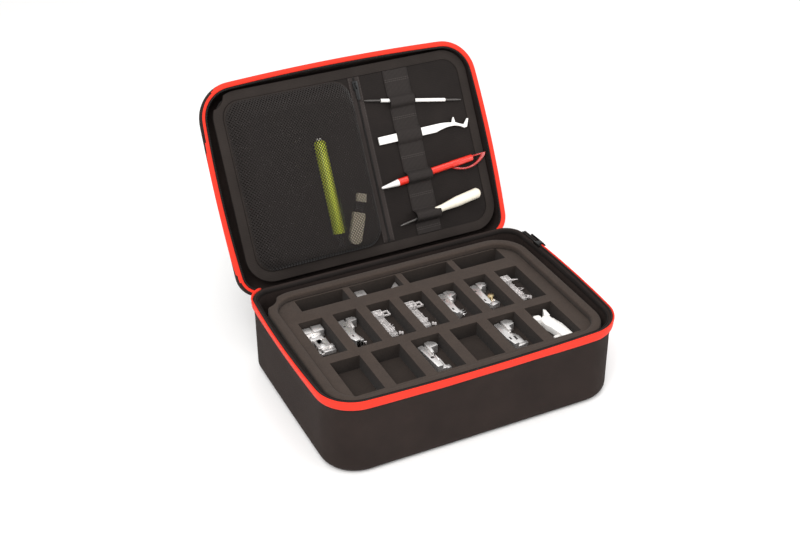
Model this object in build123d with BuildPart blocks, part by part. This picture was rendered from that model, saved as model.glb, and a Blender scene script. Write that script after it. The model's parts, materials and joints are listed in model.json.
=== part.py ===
from build123d import *
import math
import os

# Sewing machine attachment box: a moulded, zipped case with a foam tray of presser feet in the base
# and a lid that holds small tools. Millimetres. X is the width, Y runs from front to back, Z is up.
# The origin is the middle of the underside. The case stands open, and the lid is built in that place.

os.makedirs("parts", exist_ok=True)

# Case
case_half_width = 169.5
case_front = 119.0
case_rear = 118.4
case_corner = 40.0
case_rear_corner = 24.0
case_bow = 0.5  # swell of the sides
wall = 4.0
bottom_round = 11.0
rim_height = 96.0  # parting plane of the zip
lid_depth = 34.0  # from the parting plane to the top of the closed lid
lid_round = 18.0
lid_angle = 119.05  # how far the lid stands open
hinge_drop = 13.0  # hinge line below the parting plane

# Rim, which spreads outwards to the zip
flare_height = 24.0
lid_flare_height = 14.0
tape_step = 2.0  # the tape stands out from the wall
rim_half_width = case_half_width + 6.5
rim_front = case_front + 7.0
rim_corner = case_corner + 2.0
rim_side_bow = 5.5
rim_front_bow = 6.0
lip_drop = 3.0  # edge of the moulded lip, from the parting plane
tape_drop = 0.8  # edge of the tape, from the parting plane
tape_width = 12.0  # far edge of the tape, from the parting plane
tape_thickness = 1.8
tape_turn = 6.5  # the lid's tape turns in over the lip, this far from its outside
coil_height = 2.0
coil_width = 2.2
lining_thickness = 1.0
lining_end = 8.0
base_tape_right_end = 60.0
end_tab_end = 96.0
tape_end = 118.0  # where the tapes stop, past the rear corners

# Clearances
seam_gap = 0.2  # between pieces that are glued or sewn together
fit_gap = 0.3  # between pieces that move on each other

# Upper tray
tray_half_width = case_half_width - wall - 4.5
tray_front = case_front - wall - 1.5
tray_rear = case_rear - wall - 5.4
tray_corner = case_corner - 2.0
tray_ridge = 10.5
tray_top = 87.0
pocket_top = 79.7
pocket_depth = 17.0
tray_floor_thickness = 4.0
notch_radius = 19.3
notch_inset = 1.0  # centre of the finger notch, in from the tray's square corner

# Pockets of the upper tray: gaps from the ridge to the first and the last pocket, pocket width,
# gap from the tray's front to the row, and length from front to back
front_columns = 6
middle_columns = 7
rear_columns = 4
front_row = (16.75, 17.9, 33.6, 21.9, 63.3)
middle_row = (14.6, 15.1, 28.3, 98.5, 69.2)
rear_row = (28.0, 17.0, 58.0, 188.0, 23.0)

# Lower tray
lower_columns = 3
lower_rows = 2
lower_divider = 10.0
lower_floor = 8.0

# Lid lining
panel_half_width = case_half_width - wall - 6.0
panel_shift = 3.5  # the panel sits a little to the right
panel_right = panel_half_width + panel_shift
panel_front = case_front - wall - 3.0
panel_rear = case_rear - wall - 6.4
panel_corner = case_corner - 9.0
panel_face = 8.0  # face of the panel, in from the parting plane
panel_thickness = 3.0
panel_notch_radius = 18.0
binding_width = 11.0
binding_thickness = 1.1
foam_inset = 4.0
foam_round = 14.0

# Mesh pocket
mesh_left = panel_half_width - panel_shift - binding_width - 0.8
mesh_right = 10.7
mesh_front = panel_front - binding_width - 0.6
mesh_rear = panel_rear - binding_width - 0.6
mesh_corner = 20.0
mesh_rise = 15.5
mesh_thickness = 0.5
mesh_slope = 22.0
mesh_steep = 4.5
pocket_tape_width = 15.0
pocket_tape_thickness = 1.1
pocket_coil_width = 3.0
pocket_coil_height = 1.3

# Elastic strap
strap_x = panel_right - 91.5
strap_width = 32.0
strap_thickness = 1.2

# Hinge cloth
hinge_half_width = 118.0
hinge_start = 1.6  # above the hinge line
hinge_end = 29.0
hinge_thickness = 1.2

# Tools, as places on the lid panel: distance across, distance back from the middle
double_tool_left = (mesh_right + 13.8, -70.9)
double_tool_right = (panel_right - 16.2, -49.2)
double_tool_radius = 2.1
double_tip_radius = 1.5
double_tip_length = 21.0
flat_tool_left = (mesh_right + 21.3, -21.2)
flat_tool_thickness = 2.4
flat_tool_width = 9.2
flat_handle_length = 74.0
pen_left = (mesh_right + 11.3, 32.6)
pen_right = (panel_right - 0.4, 19.4)
pen_radius = 4.3
pen_nose_length = 22.0
pen_barrel_end = 122.0
pen_clip_start = 93.0
pen_clip_thickness = 1.6
pen_bulge = 6.2
driver_left = (mesh_right + 23.2, 80.6)
driver_right = (panel_right - 20.4, 63.2)
driver_radius = 6.2
driver_neck_radius = 4.2
driver_blade_radius = 1.5
driver_blade_length = 45.0
driver_grip_length = 31.0
marker_front = (-41.5, -39.3)
marker_rear = (-42.5, 88.0)
marker_radius = 6.9
marker_button_radius = 3.0
marker_button_length = 2.4
marker_tip_length = 16.0
marker_tip_radius = 4.0
brush_front = (-3.4, 33.4)
brush_rear = (-25.6, 88.4)
brush_width = 14.4
brush_thickness = 7.0

# Presser feet
foot_length = 44.0
side_foot_back = 30.8  # rear end, back from the middle of the pocket
plate_foot_back = 32.6
foot_height = 10.5
ankle_width = 21.0
sole_thickness = 3.2
web_length = 19.8
web_width = 12.6
web_drop = 1.5  # the web is lower than the ankle block
foot_slot_length = 15.0
foot_slot_width = 2.5
needle_slot = (5.2, 8.6)
wire_radius = 0.8

# Zip sliders: length along the zip, width of the plates, plate thickness, pull length and width
main_slider = (12.0, 9.6, 1.2, 24.0, 6.0)
pocket_slider = (11.0, 6.2, 1.0, 17.0, 4.4)
main_slider_start = 64.0
pocket_slider_start = -90.0


# Lid frame: x across, y back and z into the lid, with its origin on the lid's parting plane.
# The closed lid is turned about the hinge line, so the same frame gives the open lid.
open_turn = math.radians(lid_angle)
hinge_y = case_rear + 0.1
hinge_z = rim_height - hinge_drop
lid_origin_y = hinge_y - hinge_y * math.cos(open_turn) + hinge_drop * math.sin(open_turn)
lid_origin_z = hinge_z + hinge_y * math.sin(open_turn) + hinge_drop * math.cos(open_turn)
lid_frame = Plane(
    origin=(0, lid_origin_y, lid_origin_z),
    x_dir=(1, 0, 0),
    z_dir=(0, math.sin(open_turn), math.cos(open_turn)),
)
base_frame = Plane.XY.offset(rim_height)


def bowed_outline(plane, half_width, front, rear, side_bow, front_bow, corner, rear_corner):
    """Rounded rectangle whose front and sides swell, with a straight back."""
    side = half_width - side_bow
    front_end = -front + front_bow
    side_middle = (rear + front_end) / 2
    with BuildSketch(plane) as outline:
        with BuildLine():
            ThreePointArc((-side, front_end), (0, -front), (side, front_end))
            ThreePointArc((side, front_end), (half_width, side_middle), (side, rear))
            Line((side, rear), (-side, rear))
            ThreePointArc((-side, rear), (-half_width, side_middle), (-side, front_end))
        make_face()
        fillet(outline.vertices().sort_by(Axis.Y)[:2], radius=corner)
        fillet(outline.vertices().sort_by(Axis.Y)[-2:], radius=rear_corner)
    return outline.sketch


def wall_outline(plane, inset):
    """Outline of the straight wall, moved inwards."""
    return bowed_outline(
        plane,
        case_half_width - inset,
        case_front - inset,
        case_rear - inset,
        case_bow,
        case_bow,
        case_corner - inset,
        case_rear_corner - inset,
    )


def rim_outline(frame, direction, drop, inset):
    """Outline of the spreading rim, drop below the parting plane, moved inwards."""
    share = drop / (flare_height if direction < 0 else lid_flare_height)

    def between(at_parting, at_wall):
        return at_parting + (at_wall - at_parting) * share

    return bowed_outline(
        frame.offset(direction * drop),
        between(rim_half_width, case_half_width + tape_step) - inset,
        between(rim_front, case_front + tape_step) - inset,
        case_rear + tape_step - inset,
        between(rim_side_bow, case_bow),
        between(rim_front_bow, case_bow),
        between(rim_corner, case_corner + tape_step) - inset,
        case_rear_corner + tape_step - inset,
    )


def rim_ring(frame, direction, edge, end, outer, inner):
    """Add a ring that follows the rim between two drops and two insets."""
    loft([rim_outline(frame, direction, drop, outer) for drop in (end, edge)])
    loft([rim_outline(frame, direction, drop, inner) for drop in (end, edge)], mode=Mode.SUBTRACT)


def cut_block(frame, x_range, y_range):
    """Cut away everything of a rim piece that lies in a range of x and y."""
    centre = (sum(x_range) / 2, sum(y_range) / 2)
    size = (x_range[1] - x_range[0], y_range[1] - y_range[0])
    with BuildSketch(frame) as block:
        with Locations(centre):
            Rectangle(*size)
    extrude(block.sketch, amount=2 * flare_height, both=True, mode=Mode.SUBTRACT)


def lid_point(x, y, depth):
    """Place on the open lid, depth being measured in from the parting plane."""
    return lid_frame.from_local_coords(Vector(x, y, depth))


far = 2 * rim_half_width
lip_inner = tape_step + wall
rear_straight = rim_half_width - case_rear_corner - tape_step

# Base: shell, zip tape, coil, lining and the tab at the end of the zip

with BuildPart() as base_shell:
    extrude(wall_outline(Plane.XY, 0), amount=rim_height - flare_height)
    fillet(base_shell.faces().sort_by(Axis.Z)[0].edges(), radius=bottom_round)
    loft([rim_outline(base_frame, -1, drop, tape_step) for drop in (flare_height, lip_drop)])
    with BuildPart(mode=Mode.PRIVATE) as base_room:
        extrude(wall_outline(Plane.XY.offset(wall), wall), amount=rim_height - flare_height - wall)
        fillet(base_room.faces().sort_by(Axis.Z)[0].edges(), radius=bottom_round - wall)
        loft([rim_outline(base_frame, -1, drop, lip_inner) for drop in (flare_height, 0)])
    add(base_room.part, mode=Mode.SUBTRACT)
base_shell.part.label = "base_shell"
export_step(base_shell.part, "parts/base_shell.step")

with BuildPart() as base_zip_tape:
    rim_ring(base_frame, -1, tape_drop, tape_width, 0, tape_thickness)
    cut_block(base_frame, (-far, far), (tape_end, far))
    cut_block(base_frame, (0, far), (base_tape_right_end, far))
base_zip_tape.part.label = "base_zip_tape"
export_step(base_zip_tape.part, "parts/base_zip_tape.step")

with BuildPart() as zip_end_tab:
    rim_ring(base_frame, -1, tape_drop, tape_width, 0, tape_thickness)
    cut_block(base_frame, (-far, far), (-far, base_tape_right_end + seam_gap))
    cut_block(base_frame, (-far, far), (end_tab_end, far))
    cut_block(base_frame, (-far, 0), (-far, far))
zip_end_tab.part.label = "zip_end_tab"
export_step(zip_end_tab.part, "parts/zip_end_tab.step")

coil_outer = tape_thickness + seam_gap
coil_end = tape_drop + coil_height

with BuildPart() as base_zip_coil:
    rim_ring(base_frame, -1, tape_drop, coil_end, coil_outer, coil_outer + coil_width)
    cut_block(base_frame, (-far, far), (end_tab_end, far))
base_zip_coil.part.label = "base_zip_coil"
export_step(base_zip_coil.part, "parts/base_zip_coil.step")

lining_outer = lip_inner + seam_gap

with BuildPart() as base_lining:
    rim_ring(base_frame, -1, lip_drop, lining_end, lining_outer, lining_outer + lining_thickness)
base_lining.part.label = "base_lining"
export_step(base_lining.part, "parts/base_lining.step")

# Trays: the upper one lifts out, the lower one is glued in and carries it

tray_floor_bottom = pocket_top - pocket_depth - tray_floor_thickness
pocket_floor = pocket_top - pocket_depth


def tray_outline(plane, inset):
    """Outline of the tray without its finger notch, moved inwards."""
    return bowed_outline(
        plane,
        tray_half_width - inset,
        tray_front - inset,
        tray_rear - inset,
        case_bow,
        case_bow,
        tray_corner - inset,
        tray_corner - inset,
    )


def cut_tray_notch(plane, height):
    """Cut the finger notch in the rear left corner of a tray layer."""
    with BuildSketch(plane) as notch:
        with Locations((-tray_half_width + notch_inset, tray_rear - notch_inset)):
            Circle(notch_radius)
    extrude(notch.sketch, amount=height, mode=Mode.SUBTRACT)


def pocket_centre(row, columns, index):
    """Middle of one pocket of a row."""
    left_gap, right_gap, width, front_gap, length = row
    first = -tray_half_width + tray_ridge + left_gap + width / 2
    last = tray_half_width - tray_ridge - right_gap - width / 2
    pitch = (last - first) / (columns - 1)
    return (first + pitch * index, -tray_front + front_gap + length / 2)


def row_pockets(plane, row, columns):
    """Sketch of one row of pockets."""
    with BuildSketch(plane) as pockets:
        with Locations([pocket_centre(row, columns, index) for index in range(columns)]):
            Rectangle(row[2], row[4])
    return pockets.sketch


with BuildPart() as tray_floor:
    floor_plane = Plane.XY.offset(tray_floor_bottom)
    extrude(tray_outline(floor_plane, 0), amount=tray_floor_thickness)
    cut_tray_notch(floor_plane, tray_floor_thickness)
tray_floor.part.label = "tray_floor"
export_step(tray_floor.part, "parts/tray_floor.step")

with BuildPart() as tray_grid:
    grid_plane = Plane.XY.offset(pocket_floor)
    extrude(tray_outline(grid_plane, 0), amount=pocket_depth)
    for row, columns in (
        (front_row, front_columns),
        (middle_row, middle_columns),
        (rear_row, rear_columns),
    ):
        extrude(row_pockets(grid_plane, row, columns), amount=pocket_depth, mode=Mode.SUBTRACT)
    cut_tray_notch(grid_plane, pocket_depth)
tray_grid.part.label = "tray_grid"
export_step(tray_grid.part, "parts/tray_grid.step")

with BuildPart() as tray_rim:
    ridge_plane = Plane.XY.offset(pocket_top)
    ridge_height = tray_top - pocket_top
    extrude(tray_outline(ridge_plane, 0), amount=ridge_height)
    extrude(tray_outline(ridge_plane, tray_ridge), amount=ridge_height, mode=Mode.SUBTRACT)
    cut_tray_notch(ridge_plane, ridge_height)
tray_rim.part.label = "tray_rim"
export_step(tray_rim.part, "parts/tray_rim.step")

lower_top = tray_floor_bottom - fit_gap
lower_plane = Plane.XY.offset(wall + seam_gap)
lower_inset = wall + fit_gap

with BuildPart() as lower_tray:
    extrude(wall_outline(lower_plane, lower_inset), amount=lower_top - wall - seam_gap)
    fillet(lower_tray.faces().sort_by(Axis.Z)[0].edges(), radius=bottom_round - wall)
    well_width = (2 * tray_half_width - (lower_columns + 1) * lower_divider) / lower_columns
    well_length = (2 * tray_rear - (lower_rows + 1) * lower_divider) / lower_rows
    with BuildSketch(Plane.XY.offset(lower_top)) as wells:
        with GridLocations(
            well_width + lower_divider, well_length + lower_divider, lower_columns, lower_rows
        ):
            RectangleRounded(well_width, well_length, lower_divider)
    extrude(amount=-(lower_top - wall - lower_floor), mode=Mode.SUBTRACT)
lower_tray.part.label = "lower_tray"
export_step(lower_tray.part, "parts/lower_tray.step")

# Lid: shell, zip tape, coil, lining and hinge cloth

with BuildPart() as lid_shell:
    extrude(
        wall_outline(lid_frame.offset(lid_flare_height), 0), amount=lid_depth - lid_flare_height
    )
    lid_axis = Axis(lid_frame.origin, lid_frame.z_dir)
    fillet(lid_shell.faces().sort_by(lid_axis)[-1].edges(), radius=lid_round)
    loft([rim_outline(lid_frame, 1, drop, tape_step) for drop in (lid_flare_height, lip_drop)])
    with BuildPart(mode=Mode.PRIVATE) as lid_room:
        room_outline = wall_outline(lid_frame.offset(lid_flare_height), wall)
        extrude(room_outline, amount=lid_depth - lid_flare_height - wall)
        fillet(lid_room.faces().sort_by(lid_axis)[-1].edges(), radius=lid_round - wall)
        loft([rim_outline(lid_frame, 1, drop, lip_inner) for drop in (lid_flare_height, 0)])
    add(lid_room.part, mode=Mode.SUBTRACT)
lid_shell.part.label = "lid_shell"
export_step(lid_shell.part, "parts/lid_shell.step")

with BuildPart() as lid_zip_tape:
    rim_ring(lid_frame, 1, tape_drop, tape_width, 0, tape_thickness)
    rim_ring(lid_frame, 1, tape_drop, tape_drop + tape_thickness, tape_thickness / 2, tape_turn)
    cut_block(lid_frame, (-far, far), (tape_end, far))
    cut_block(lid_frame, (-rear_straight, rear_straight), (0, far))
lid_zip_tape.part.label = "lid_zip_tape"
export_step(lid_zip_tape.part, "parts/lid_zip_tape.step")

with BuildPart() as lid_zip_coil:
    lid_coil_outer = tape_turn + seam_gap
    rim_ring(lid_frame, 1, tape_drop, coil_end, lid_coil_outer, lid_coil_outer + coil_width)
    cut_block(lid_frame, (-rear_straight, rear_straight), (0, far))
lid_zip_coil.part.label = "lid_zip_coil"
export_step(lid_zip_coil.part, "parts/lid_zip_coil.step")

with BuildPart() as lid_lining:
    rim_ring(lid_frame, 1, lip_drop, lining_end, lining_outer, lining_outer + lining_thickness)
lid_lining.part.label = "lid_lining"
export_step(lid_lining.part, "parts/lid_lining.step")

with BuildPart() as hinge_cloth:
    cloth_start = hinge_start - hinge_drop
    cloth_end = hinge_end - hinge_drop
    with BuildSketch(lid_frame.offset(cloth_start)) as cloth:
        with Locations((0, case_rear + fit_gap + hinge_thickness / 2)):
            Rectangle(2 * hinge_half_width, hinge_thickness)
    extrude(amount=cloth_end - cloth_start)
hinge_cloth.part.label = "hinge_cloth"
export_step(hinge_cloth.part, "parts/hinge_cloth.step")

# Lid lining: foam, panel and binding


def panel_plane(depth):
    """Plane through the middle of the lid panel."""
    return Plane(origin=lid_point(panel_shift, 0, depth), x_dir=(1, 0, 0), z_dir=lid_frame.z_dir)


def panel_outline(plane, inset):
    """Outline of the lid panel, moved inwards."""
    return bowed_outline(
        plane,
        panel_half_width - inset,
        panel_front - inset,
        panel_rear - inset,
        case_bow,
        case_bow,
        panel_corner - inset,
        panel_corner - inset,
    )


def cut_panel_notch(plane, radius, height):
    """Cut the notch in the front left corner of a lid layer."""
    with BuildSketch(plane) as notch:
        with Locations((-panel_half_width, -panel_front)):
            Circle(radius)
    extrude(notch.sketch, amount=height, mode=Mode.SUBTRACT)


foam_start = panel_face + panel_thickness + seam_gap
foam_end = lid_depth - wall - 2 * seam_gap

with BuildPart() as lid_foam:
    extrude(panel_outline(panel_plane(foam_start), foam_inset), amount=foam_end - foam_start)
    fillet(lid_foam.faces().sort_by(lid_axis)[-1].edges(), radius=foam_round)
lid_foam.part.label = "lid_foam"
export_step(lid_foam.part, "parts/lid_foam.step")

with BuildPart() as lid_panel:
    extrude(panel_outline(panel_plane(panel_face), 0), amount=panel_thickness)
    cut_panel_notch(panel_plane(panel_face), panel_notch_radius, panel_thickness)
lid_panel.part.label = "lid_panel"
export_step(lid_panel.part, "parts/lid_panel.step")

with BuildPart() as panel_binding:
    binding_plane = panel_plane(panel_face - binding_thickness)
    extrude(panel_outline(binding_plane, 0), amount=binding_thickness)
    extrude(panel_outline(binding_plane, binding_width), amount=binding_thickness, mode=Mode.SUBTRACT)
    cut_panel_notch(binding_plane, panel_notch_radius, binding_thickness)
panel_binding.part.label = "panel_binding"
export_step(panel_binding.part, "parts/panel_binding.step")

# Mesh pocket with its zip


def mesh_section(depth, slope, steep, inset):
    """Section of the mesh pocket; slope moves three sides in and steep the side along the zip."""
    left = -mesh_left + slope + inset
    right = mesh_right - steep - inset
    front = -mesh_front + slope + inset
    rear = mesh_rear - steep - inset
    with BuildSketch(lid_frame.offset(depth)) as section:
        with Locations(((left + right) / 2, (front + rear) / 2)):
            RectangleRounded(right - left, rear - front, mesh_corner - inset)
    return section.sketch


mesh_seat = panel_face - seam_gap

with BuildPart() as mesh_pocket:
    for inset, mode in ((0, Mode.ADD), (mesh_thickness, Mode.SUBTRACT)):
        mesh_top = panel_face - mesh_rise + inset
        sections = [
            mesh_section(mesh_seat, 0, 0, inset),
            mesh_section(mesh_top, mesh_slope, mesh_steep, inset),
        ]
        loft(sections, mode=mode)
mesh_pocket.part.label = "mesh_pocket"
export_step(mesh_pocket.part, "parts/mesh_pocket.step")

pocket_zip_x = mesh_right + seam_gap + pocket_tape_width / 2
pocket_zip_length = mesh_front + mesh_rear
pocket_zip_y = (mesh_rear - mesh_front) / 2

with BuildPart() as pocket_zip_tape:
    with BuildSketch(lid_frame.offset(panel_face - pocket_tape_thickness)) as tape:
        with Locations((pocket_zip_x, pocket_zip_y)):
            Rectangle(pocket_tape_width, pocket_zip_length)
    extrude(amount=pocket_tape_thickness)
pocket_zip_tape.part.label = "pocket_zip_tape"
export_step(pocket_zip_tape.part, "parts/pocket_zip_tape.step")

pocket_coil_face = panel_face - pocket_tape_thickness - pocket_coil_height

with BuildPart() as pocket_zip_coil:
    with BuildSketch(lid_frame.offset(pocket_coil_face)) as coil:
        with Locations((pocket_zip_x, pocket_zip_y)):
            Rectangle(pocket_coil_width, pocket_zip_length)
    extrude(amount=pocket_coil_height)
pocket_zip_coil.part.label = "pocket_zip_coil"
export_step(pocket_zip_coil.part, "parts/pocket_zip_coil.step")

# Tools. Those under the strap slide over the binding, and those in the pocket lie on the panel.


def strap_depth(radius):
    """Depth of the middle of a tool under the strap."""
    return panel_face - binding_thickness - fit_gap - radius


def pocket_item_depth(radius):
    """Depth of the middle of a thing in the mesh pocket."""
    return panel_face - fit_gap - radius


def turned(start, end, depth, profile):
    """Round piece along a line on the lid, from a profile of (distance, radius) points."""
    origin = lid_point(*start, depth)
    along = lid_point(*end, depth) - origin
    half_plane = Plane(origin=origin, x_dir=along, z_dir=lid_frame.z_dir)
    with BuildPart() as piece:
        with BuildSketch(half_plane):
            with BuildLine():
                Polyline((profile[0][0], 0), *profile, (profile[-1][0], 0), close=True)
            make_face()
        revolve(axis=Axis(origin, half_plane.x_dir))
    return piece


def span(start, end):
    """Length between two places on the lid."""
    return math.dist(start, end)


double_length = span(double_tool_left, double_tool_right)
double_depth = strap_depth(double_tool_radius)
shaft_start = double_tip_length
shaft_end = double_length - double_tip_length
double_tool_shaft = turned(
    double_tool_left,
    double_tool_right,
    double_depth,
    [(shaft_start, double_tool_radius), (shaft_end, double_tool_radius)],
)
double_tool_shaft.part.label = "double_tool_shaft"
export_step(double_tool_shaft.part, "parts/double_tool_shaft.step")


def double_tip(first, last):
    """Profile of one grey tip, from its point to the shaft."""
    step = (last - first) / double_tip_length
    return [
        (first, double_tip_radius / 2),
        (first + step * double_tip_length / 3, double_tip_radius),
        (last, double_tip_radius),
    ]


with BuildPart() as double_tool_tips:
    for profile in (double_tip(0, shaft_start), double_tip(double_length, shaft_end)):
        tip = turned(double_tool_left, double_tool_right, double_depth, profile)
        add(tip.part)
double_tool_tips.part.label = "double_tool_tips"
export_step(double_tool_tips.part, "parts/double_tool_tips.step")

flat_depth = panel_face - binding_thickness - fit_gap - flat_tool_thickness
flat_half = flat_tool_width / 2
handle_end = flat_handle_length
flat_origin = lid_point(*flat_tool_left, flat_depth)
flat_plane = Plane(origin=flat_origin, x_dir=(1, 0, 0), z_dir=lid_frame.z_dir)

with BuildPart() as flat_tool:
    with BuildSketch(flat_plane):
        with BuildLine():
            Polyline((handle_end, -flat_half - 0.8), (0, -flat_half), (0, flat_half))
            Line((0, flat_half), (handle_end, flat_half - 0.6))
            ThreePointArc(
                (handle_end, -flat_half - 0.8),
                (handle_end + 12.0, -flat_half - 0.6),
                (handle_end + 22.6, -flat_half + 1.0),
            )
            Polyline(
                (handle_end + 22.6, -flat_half + 1.0),
                (handle_end + 25.4, -flat_half - 4.8),
                (handle_end + 26.6, -flat_half - 4.8),
                (handle_end + 27.2, -flat_half + 1.4),
            )
            ThreePointArc(
                (handle_end + 27.2, -flat_half + 1.4),
                (handle_end + 32.6, flat_half - 5.0),
                (handle_end + 37.6, flat_half - 3.0),
            )
            Polyline(
                (handle_end + 37.6, flat_half - 3.0),
                (handle_end + 43.4, -flat_half - 0.2),
                (handle_end + 45.2, -flat_half + 0.4),
                (handle_end + 41.2, flat_half + 0.7),
                (handle_end + 37.4, flat_half + 1.0),
            )
            Spline(
                (handle_end + 37.4, flat_half + 1.0),
                (handle_end + 24.0, flat_half - 4.0),
                (handle_end + 13.0, flat_half - 3.6),
                (handle_end, flat_half - 0.6),
            )
        make_face()
    extrude(amount=flat_tool_thickness)
flat_tool.part.label = "flat_tool"
export_step(flat_tool.part, "parts/flat_tool.step")

pen_depth = strap_depth(pen_radius)
pen_nose = turned(
    pen_left,
    pen_right,
    pen_depth,
    [(0, 1.1), (2.0, 1.6), (pen_nose_length, pen_radius - 0.3)],
)
pen_nose.part.label = "pen_nose"
export_step(pen_nose.part, "parts/pen_nose.step")

pen_barrel = turned(
    pen_left,
    pen_right,
    pen_depth,
    [
        (pen_nose_length, pen_radius),
        (pen_clip_start, pen_radius - 0.4),
        (pen_clip_start, pen_radius),
        (pen_barrel_end, pen_radius - 0.4),
    ],
)
pen_barrel.part.label = "pen_barrel"
export_step(pen_barrel.part, "parts/pen_barrel.step")

pen_length = span(pen_left, pen_right)
pen_origin = lid_point(*pen_left, pen_depth - pen_clip_thickness / 2)
pen_along = lid_point(*pen_right, pen_depth - pen_clip_thickness / 2) - pen_origin
pen_side = pen_radius + seam_gap

with BuildPart() as pen_clip:
    with BuildSketch(Plane(origin=pen_origin, x_dir=pen_along, z_dir=lid_frame.z_dir)):
        with BuildLine():
            Line((pen_clip_start, pen_side), (pen_clip_start + 4, pen_side + 2.0))
            ThreePointArc(
                (pen_clip_start + 4, pen_side + 2.0),
                (pen_barrel_end - 3, pen_side + pen_bulge),
                (pen_length - 1, 1.2),
            )
            Line((pen_length - 1, 1.2), (pen_length, -1.6))
            Line((pen_length, -1.6), (pen_barrel_end + seam_gap, -2.6))
            Line((pen_barrel_end + seam_gap, -2.6), (pen_barrel_end + seam_gap, -0.6))
            Line((pen_barrel_end + seam_gap, -0.6), (pen_length - 6, -0.2))
            ThreePointArc(
                (pen_length - 6, -0.2),
                (pen_barrel_end - 3, pen_side + pen_bulge - 2.4),
                (pen_clip_start + 7, pen_side + 0.6),
            )
            Line((pen_clip_start + 7, pen_side + 0.6), (pen_clip_start, pen_side))
        make_face()
    extrude(amount=pen_clip_thickness)
pen_clip.part.label = "pen_clip"
export_step(pen_clip.part, "parts/pen_clip.step")

driver_length = span(driver_left, driver_right)
driver_waist = driver_length - driver_grip_length
driver_depth = strap_depth(driver_radius)
screwdriver_handle = turned(
    driver_left,
    driver_right,
    driver_depth,
    [
        (driver_blade_length, driver_neck_radius),
        (driver_waist - 20.0, driver_neck_radius),
        (driver_waist, driver_radius),
        (driver_length - 3.0, driver_radius),
        (driver_length, driver_radius - 2.4),
    ],
)
screwdriver_handle.part.label = "screwdriver_handle"
export_step(screwdriver_handle.part, "parts/screwdriver_handle.step")

screwdriver_blade = turned(
    driver_left,
    driver_right,
    driver_depth,
    [(0, 0.5), (4.0, driver_blade_radius), (driver_blade_length, driver_blade_radius)],
)
screwdriver_blade.part.label = "screwdriver_blade"
export_step(screwdriver_blade.part, "parts/screwdriver_blade.step")

marker_length = span(marker_front, marker_rear)
marker_barrel_end = marker_length - marker_tip_length
marker_depth = pocket_item_depth(marker_radius)
marker_barrel = turned(
    marker_front,
    marker_rear,
    marker_depth,
    [
        (marker_button_length, marker_button_radius),
        (marker_button_length + 2.0, marker_radius - 0.9),
        (marker_button_length + 4.6, marker_radius),
        (marker_barrel_end, marker_radius),
    ],
)
marker_barrel.part.label = "marker_barrel"
export_step(marker_barrel.part, "parts/marker_barrel.step")

marker_button = turned(
    marker_front,
    marker_rear,
    marker_depth,
    [
        (0, marker_button_radius - 0.8),
        (0.6, marker_button_radius),
        (marker_button_length, marker_button_radius),
    ],
)
marker_button.part.label = "marker_button"
export_step(marker_button.part, "parts/marker_button.step")

marker_tip = turned(
    marker_front,
    marker_rear,
    marker_depth,
    [
        (marker_barrel_end, marker_tip_radius),
        (marker_length - 5.0, marker_tip_radius - 0.6),
        (marker_length, marker_tip_radius - 1.2),
    ],
)
marker_tip.part.label = "marker_tip"
export_step(marker_tip.part, "parts/marker_tip.step")

clip_reach = 2.8
clip_rise = 2.4
clip_start = marker_barrel_end - 42.0
marker_origin = lid_point(*marker_front, marker_depth - clip_rise / 2)
marker_along = lid_point(*marker_rear, marker_depth - clip_rise / 2) - marker_origin

with BuildPart() as marker_clip:
    with BuildSketch(Plane(origin=marker_origin, x_dir=marker_along, z_dir=lid_frame.z_dir)):
        with BuildLine():
            Polyline(
                (clip_start, -marker_radius - seam_gap - 1.0),
                (clip_start + 3, -marker_radius - seam_gap - clip_reach),
                (marker_barrel_end - 2, -marker_radius - seam_gap - clip_reach),
                (marker_barrel_end, -marker_radius - seam_gap),
                (marker_barrel_end - 5, -marker_radius - seam_gap),
                (marker_barrel_end - 6, -marker_radius - seam_gap - 1.0),
                close=True,
            )
        make_face()
    extrude(amount=clip_rise)
marker_clip.part.label = "marker_clip"
export_step(marker_clip.part, "parts/marker_clip.step")

brush_length = span(brush_front, brush_rear)
brush_cap_length = 9.5
brush_neck_length = 13.0
brush_body_start = brush_cap_length + brush_neck_length
brush_depth = pocket_item_depth(brush_thickness)
brush_origin = lid_point(*brush_front, brush_depth)
brush_along = lid_point(*brush_rear, brush_depth) - brush_origin
brush_plane = Plane(origin=brush_origin, x_dir=brush_along, z_dir=lid_frame.z_dir)


def brush_part(start, end, width, height, end_round):
    """One length of the brush, with its far end rounded."""
    with BuildPart() as piece:
        with BuildSketch(brush_plane.offset((brush_thickness - height) / 2)) as flat:
            with Locations(((start + end) / 2, 0)):
                Rectangle(end - start, width)
            fillet(flat.vertices().sort_by(Axis.X)[-2:], radius=end_round)
        extrude(amount=height)
    return piece


brush_cap = brush_part(0, brush_cap_length, brush_width - 3.4, brush_thickness - 1.0, 0.6)
brush_cap.part.label = "brush_cap"
export_step(brush_cap.part, "parts/brush_cap.step")

brush_neck = brush_part(
    brush_cap_length, brush_body_start, brush_width - 5.0, brush_thickness - 2.0, 0.6
)
brush_neck.part.label = "brush_neck"
export_step(brush_neck.part, "parts/brush_neck.step")

brush_body = brush_part(
    brush_body_start, brush_length, brush_width, brush_thickness, brush_width / 2 - 0.4
)
brush_body.part.label = "brush_body"
export_step(brush_body.part, "parts/brush_body.step")

# Elastic strap: flat on the panel, with a hump over each tool


def strap_crossing(start, end):
    """Where a tool crosses the middle of the strap, and how far it wanders under its width."""
    slope = (end[1] - start[1]) / (end[0] - start[0])
    crossing = start[1] + slope * (strap_x - start[0])
    return crossing, abs(slope) * strap_width / 2


double_crossing, double_wander = strap_crossing(double_tool_left, double_tool_right)
pen_crossing, pen_wander = strap_crossing(pen_left, pen_right)
driver_crossing, driver_wander = strap_crossing(driver_left, driver_right)


def strap_room(depth, radius):
    """Height of the room below the strap, over a tool whose middle is at a depth."""
    return panel_face - depth + radius + fit_gap


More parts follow.
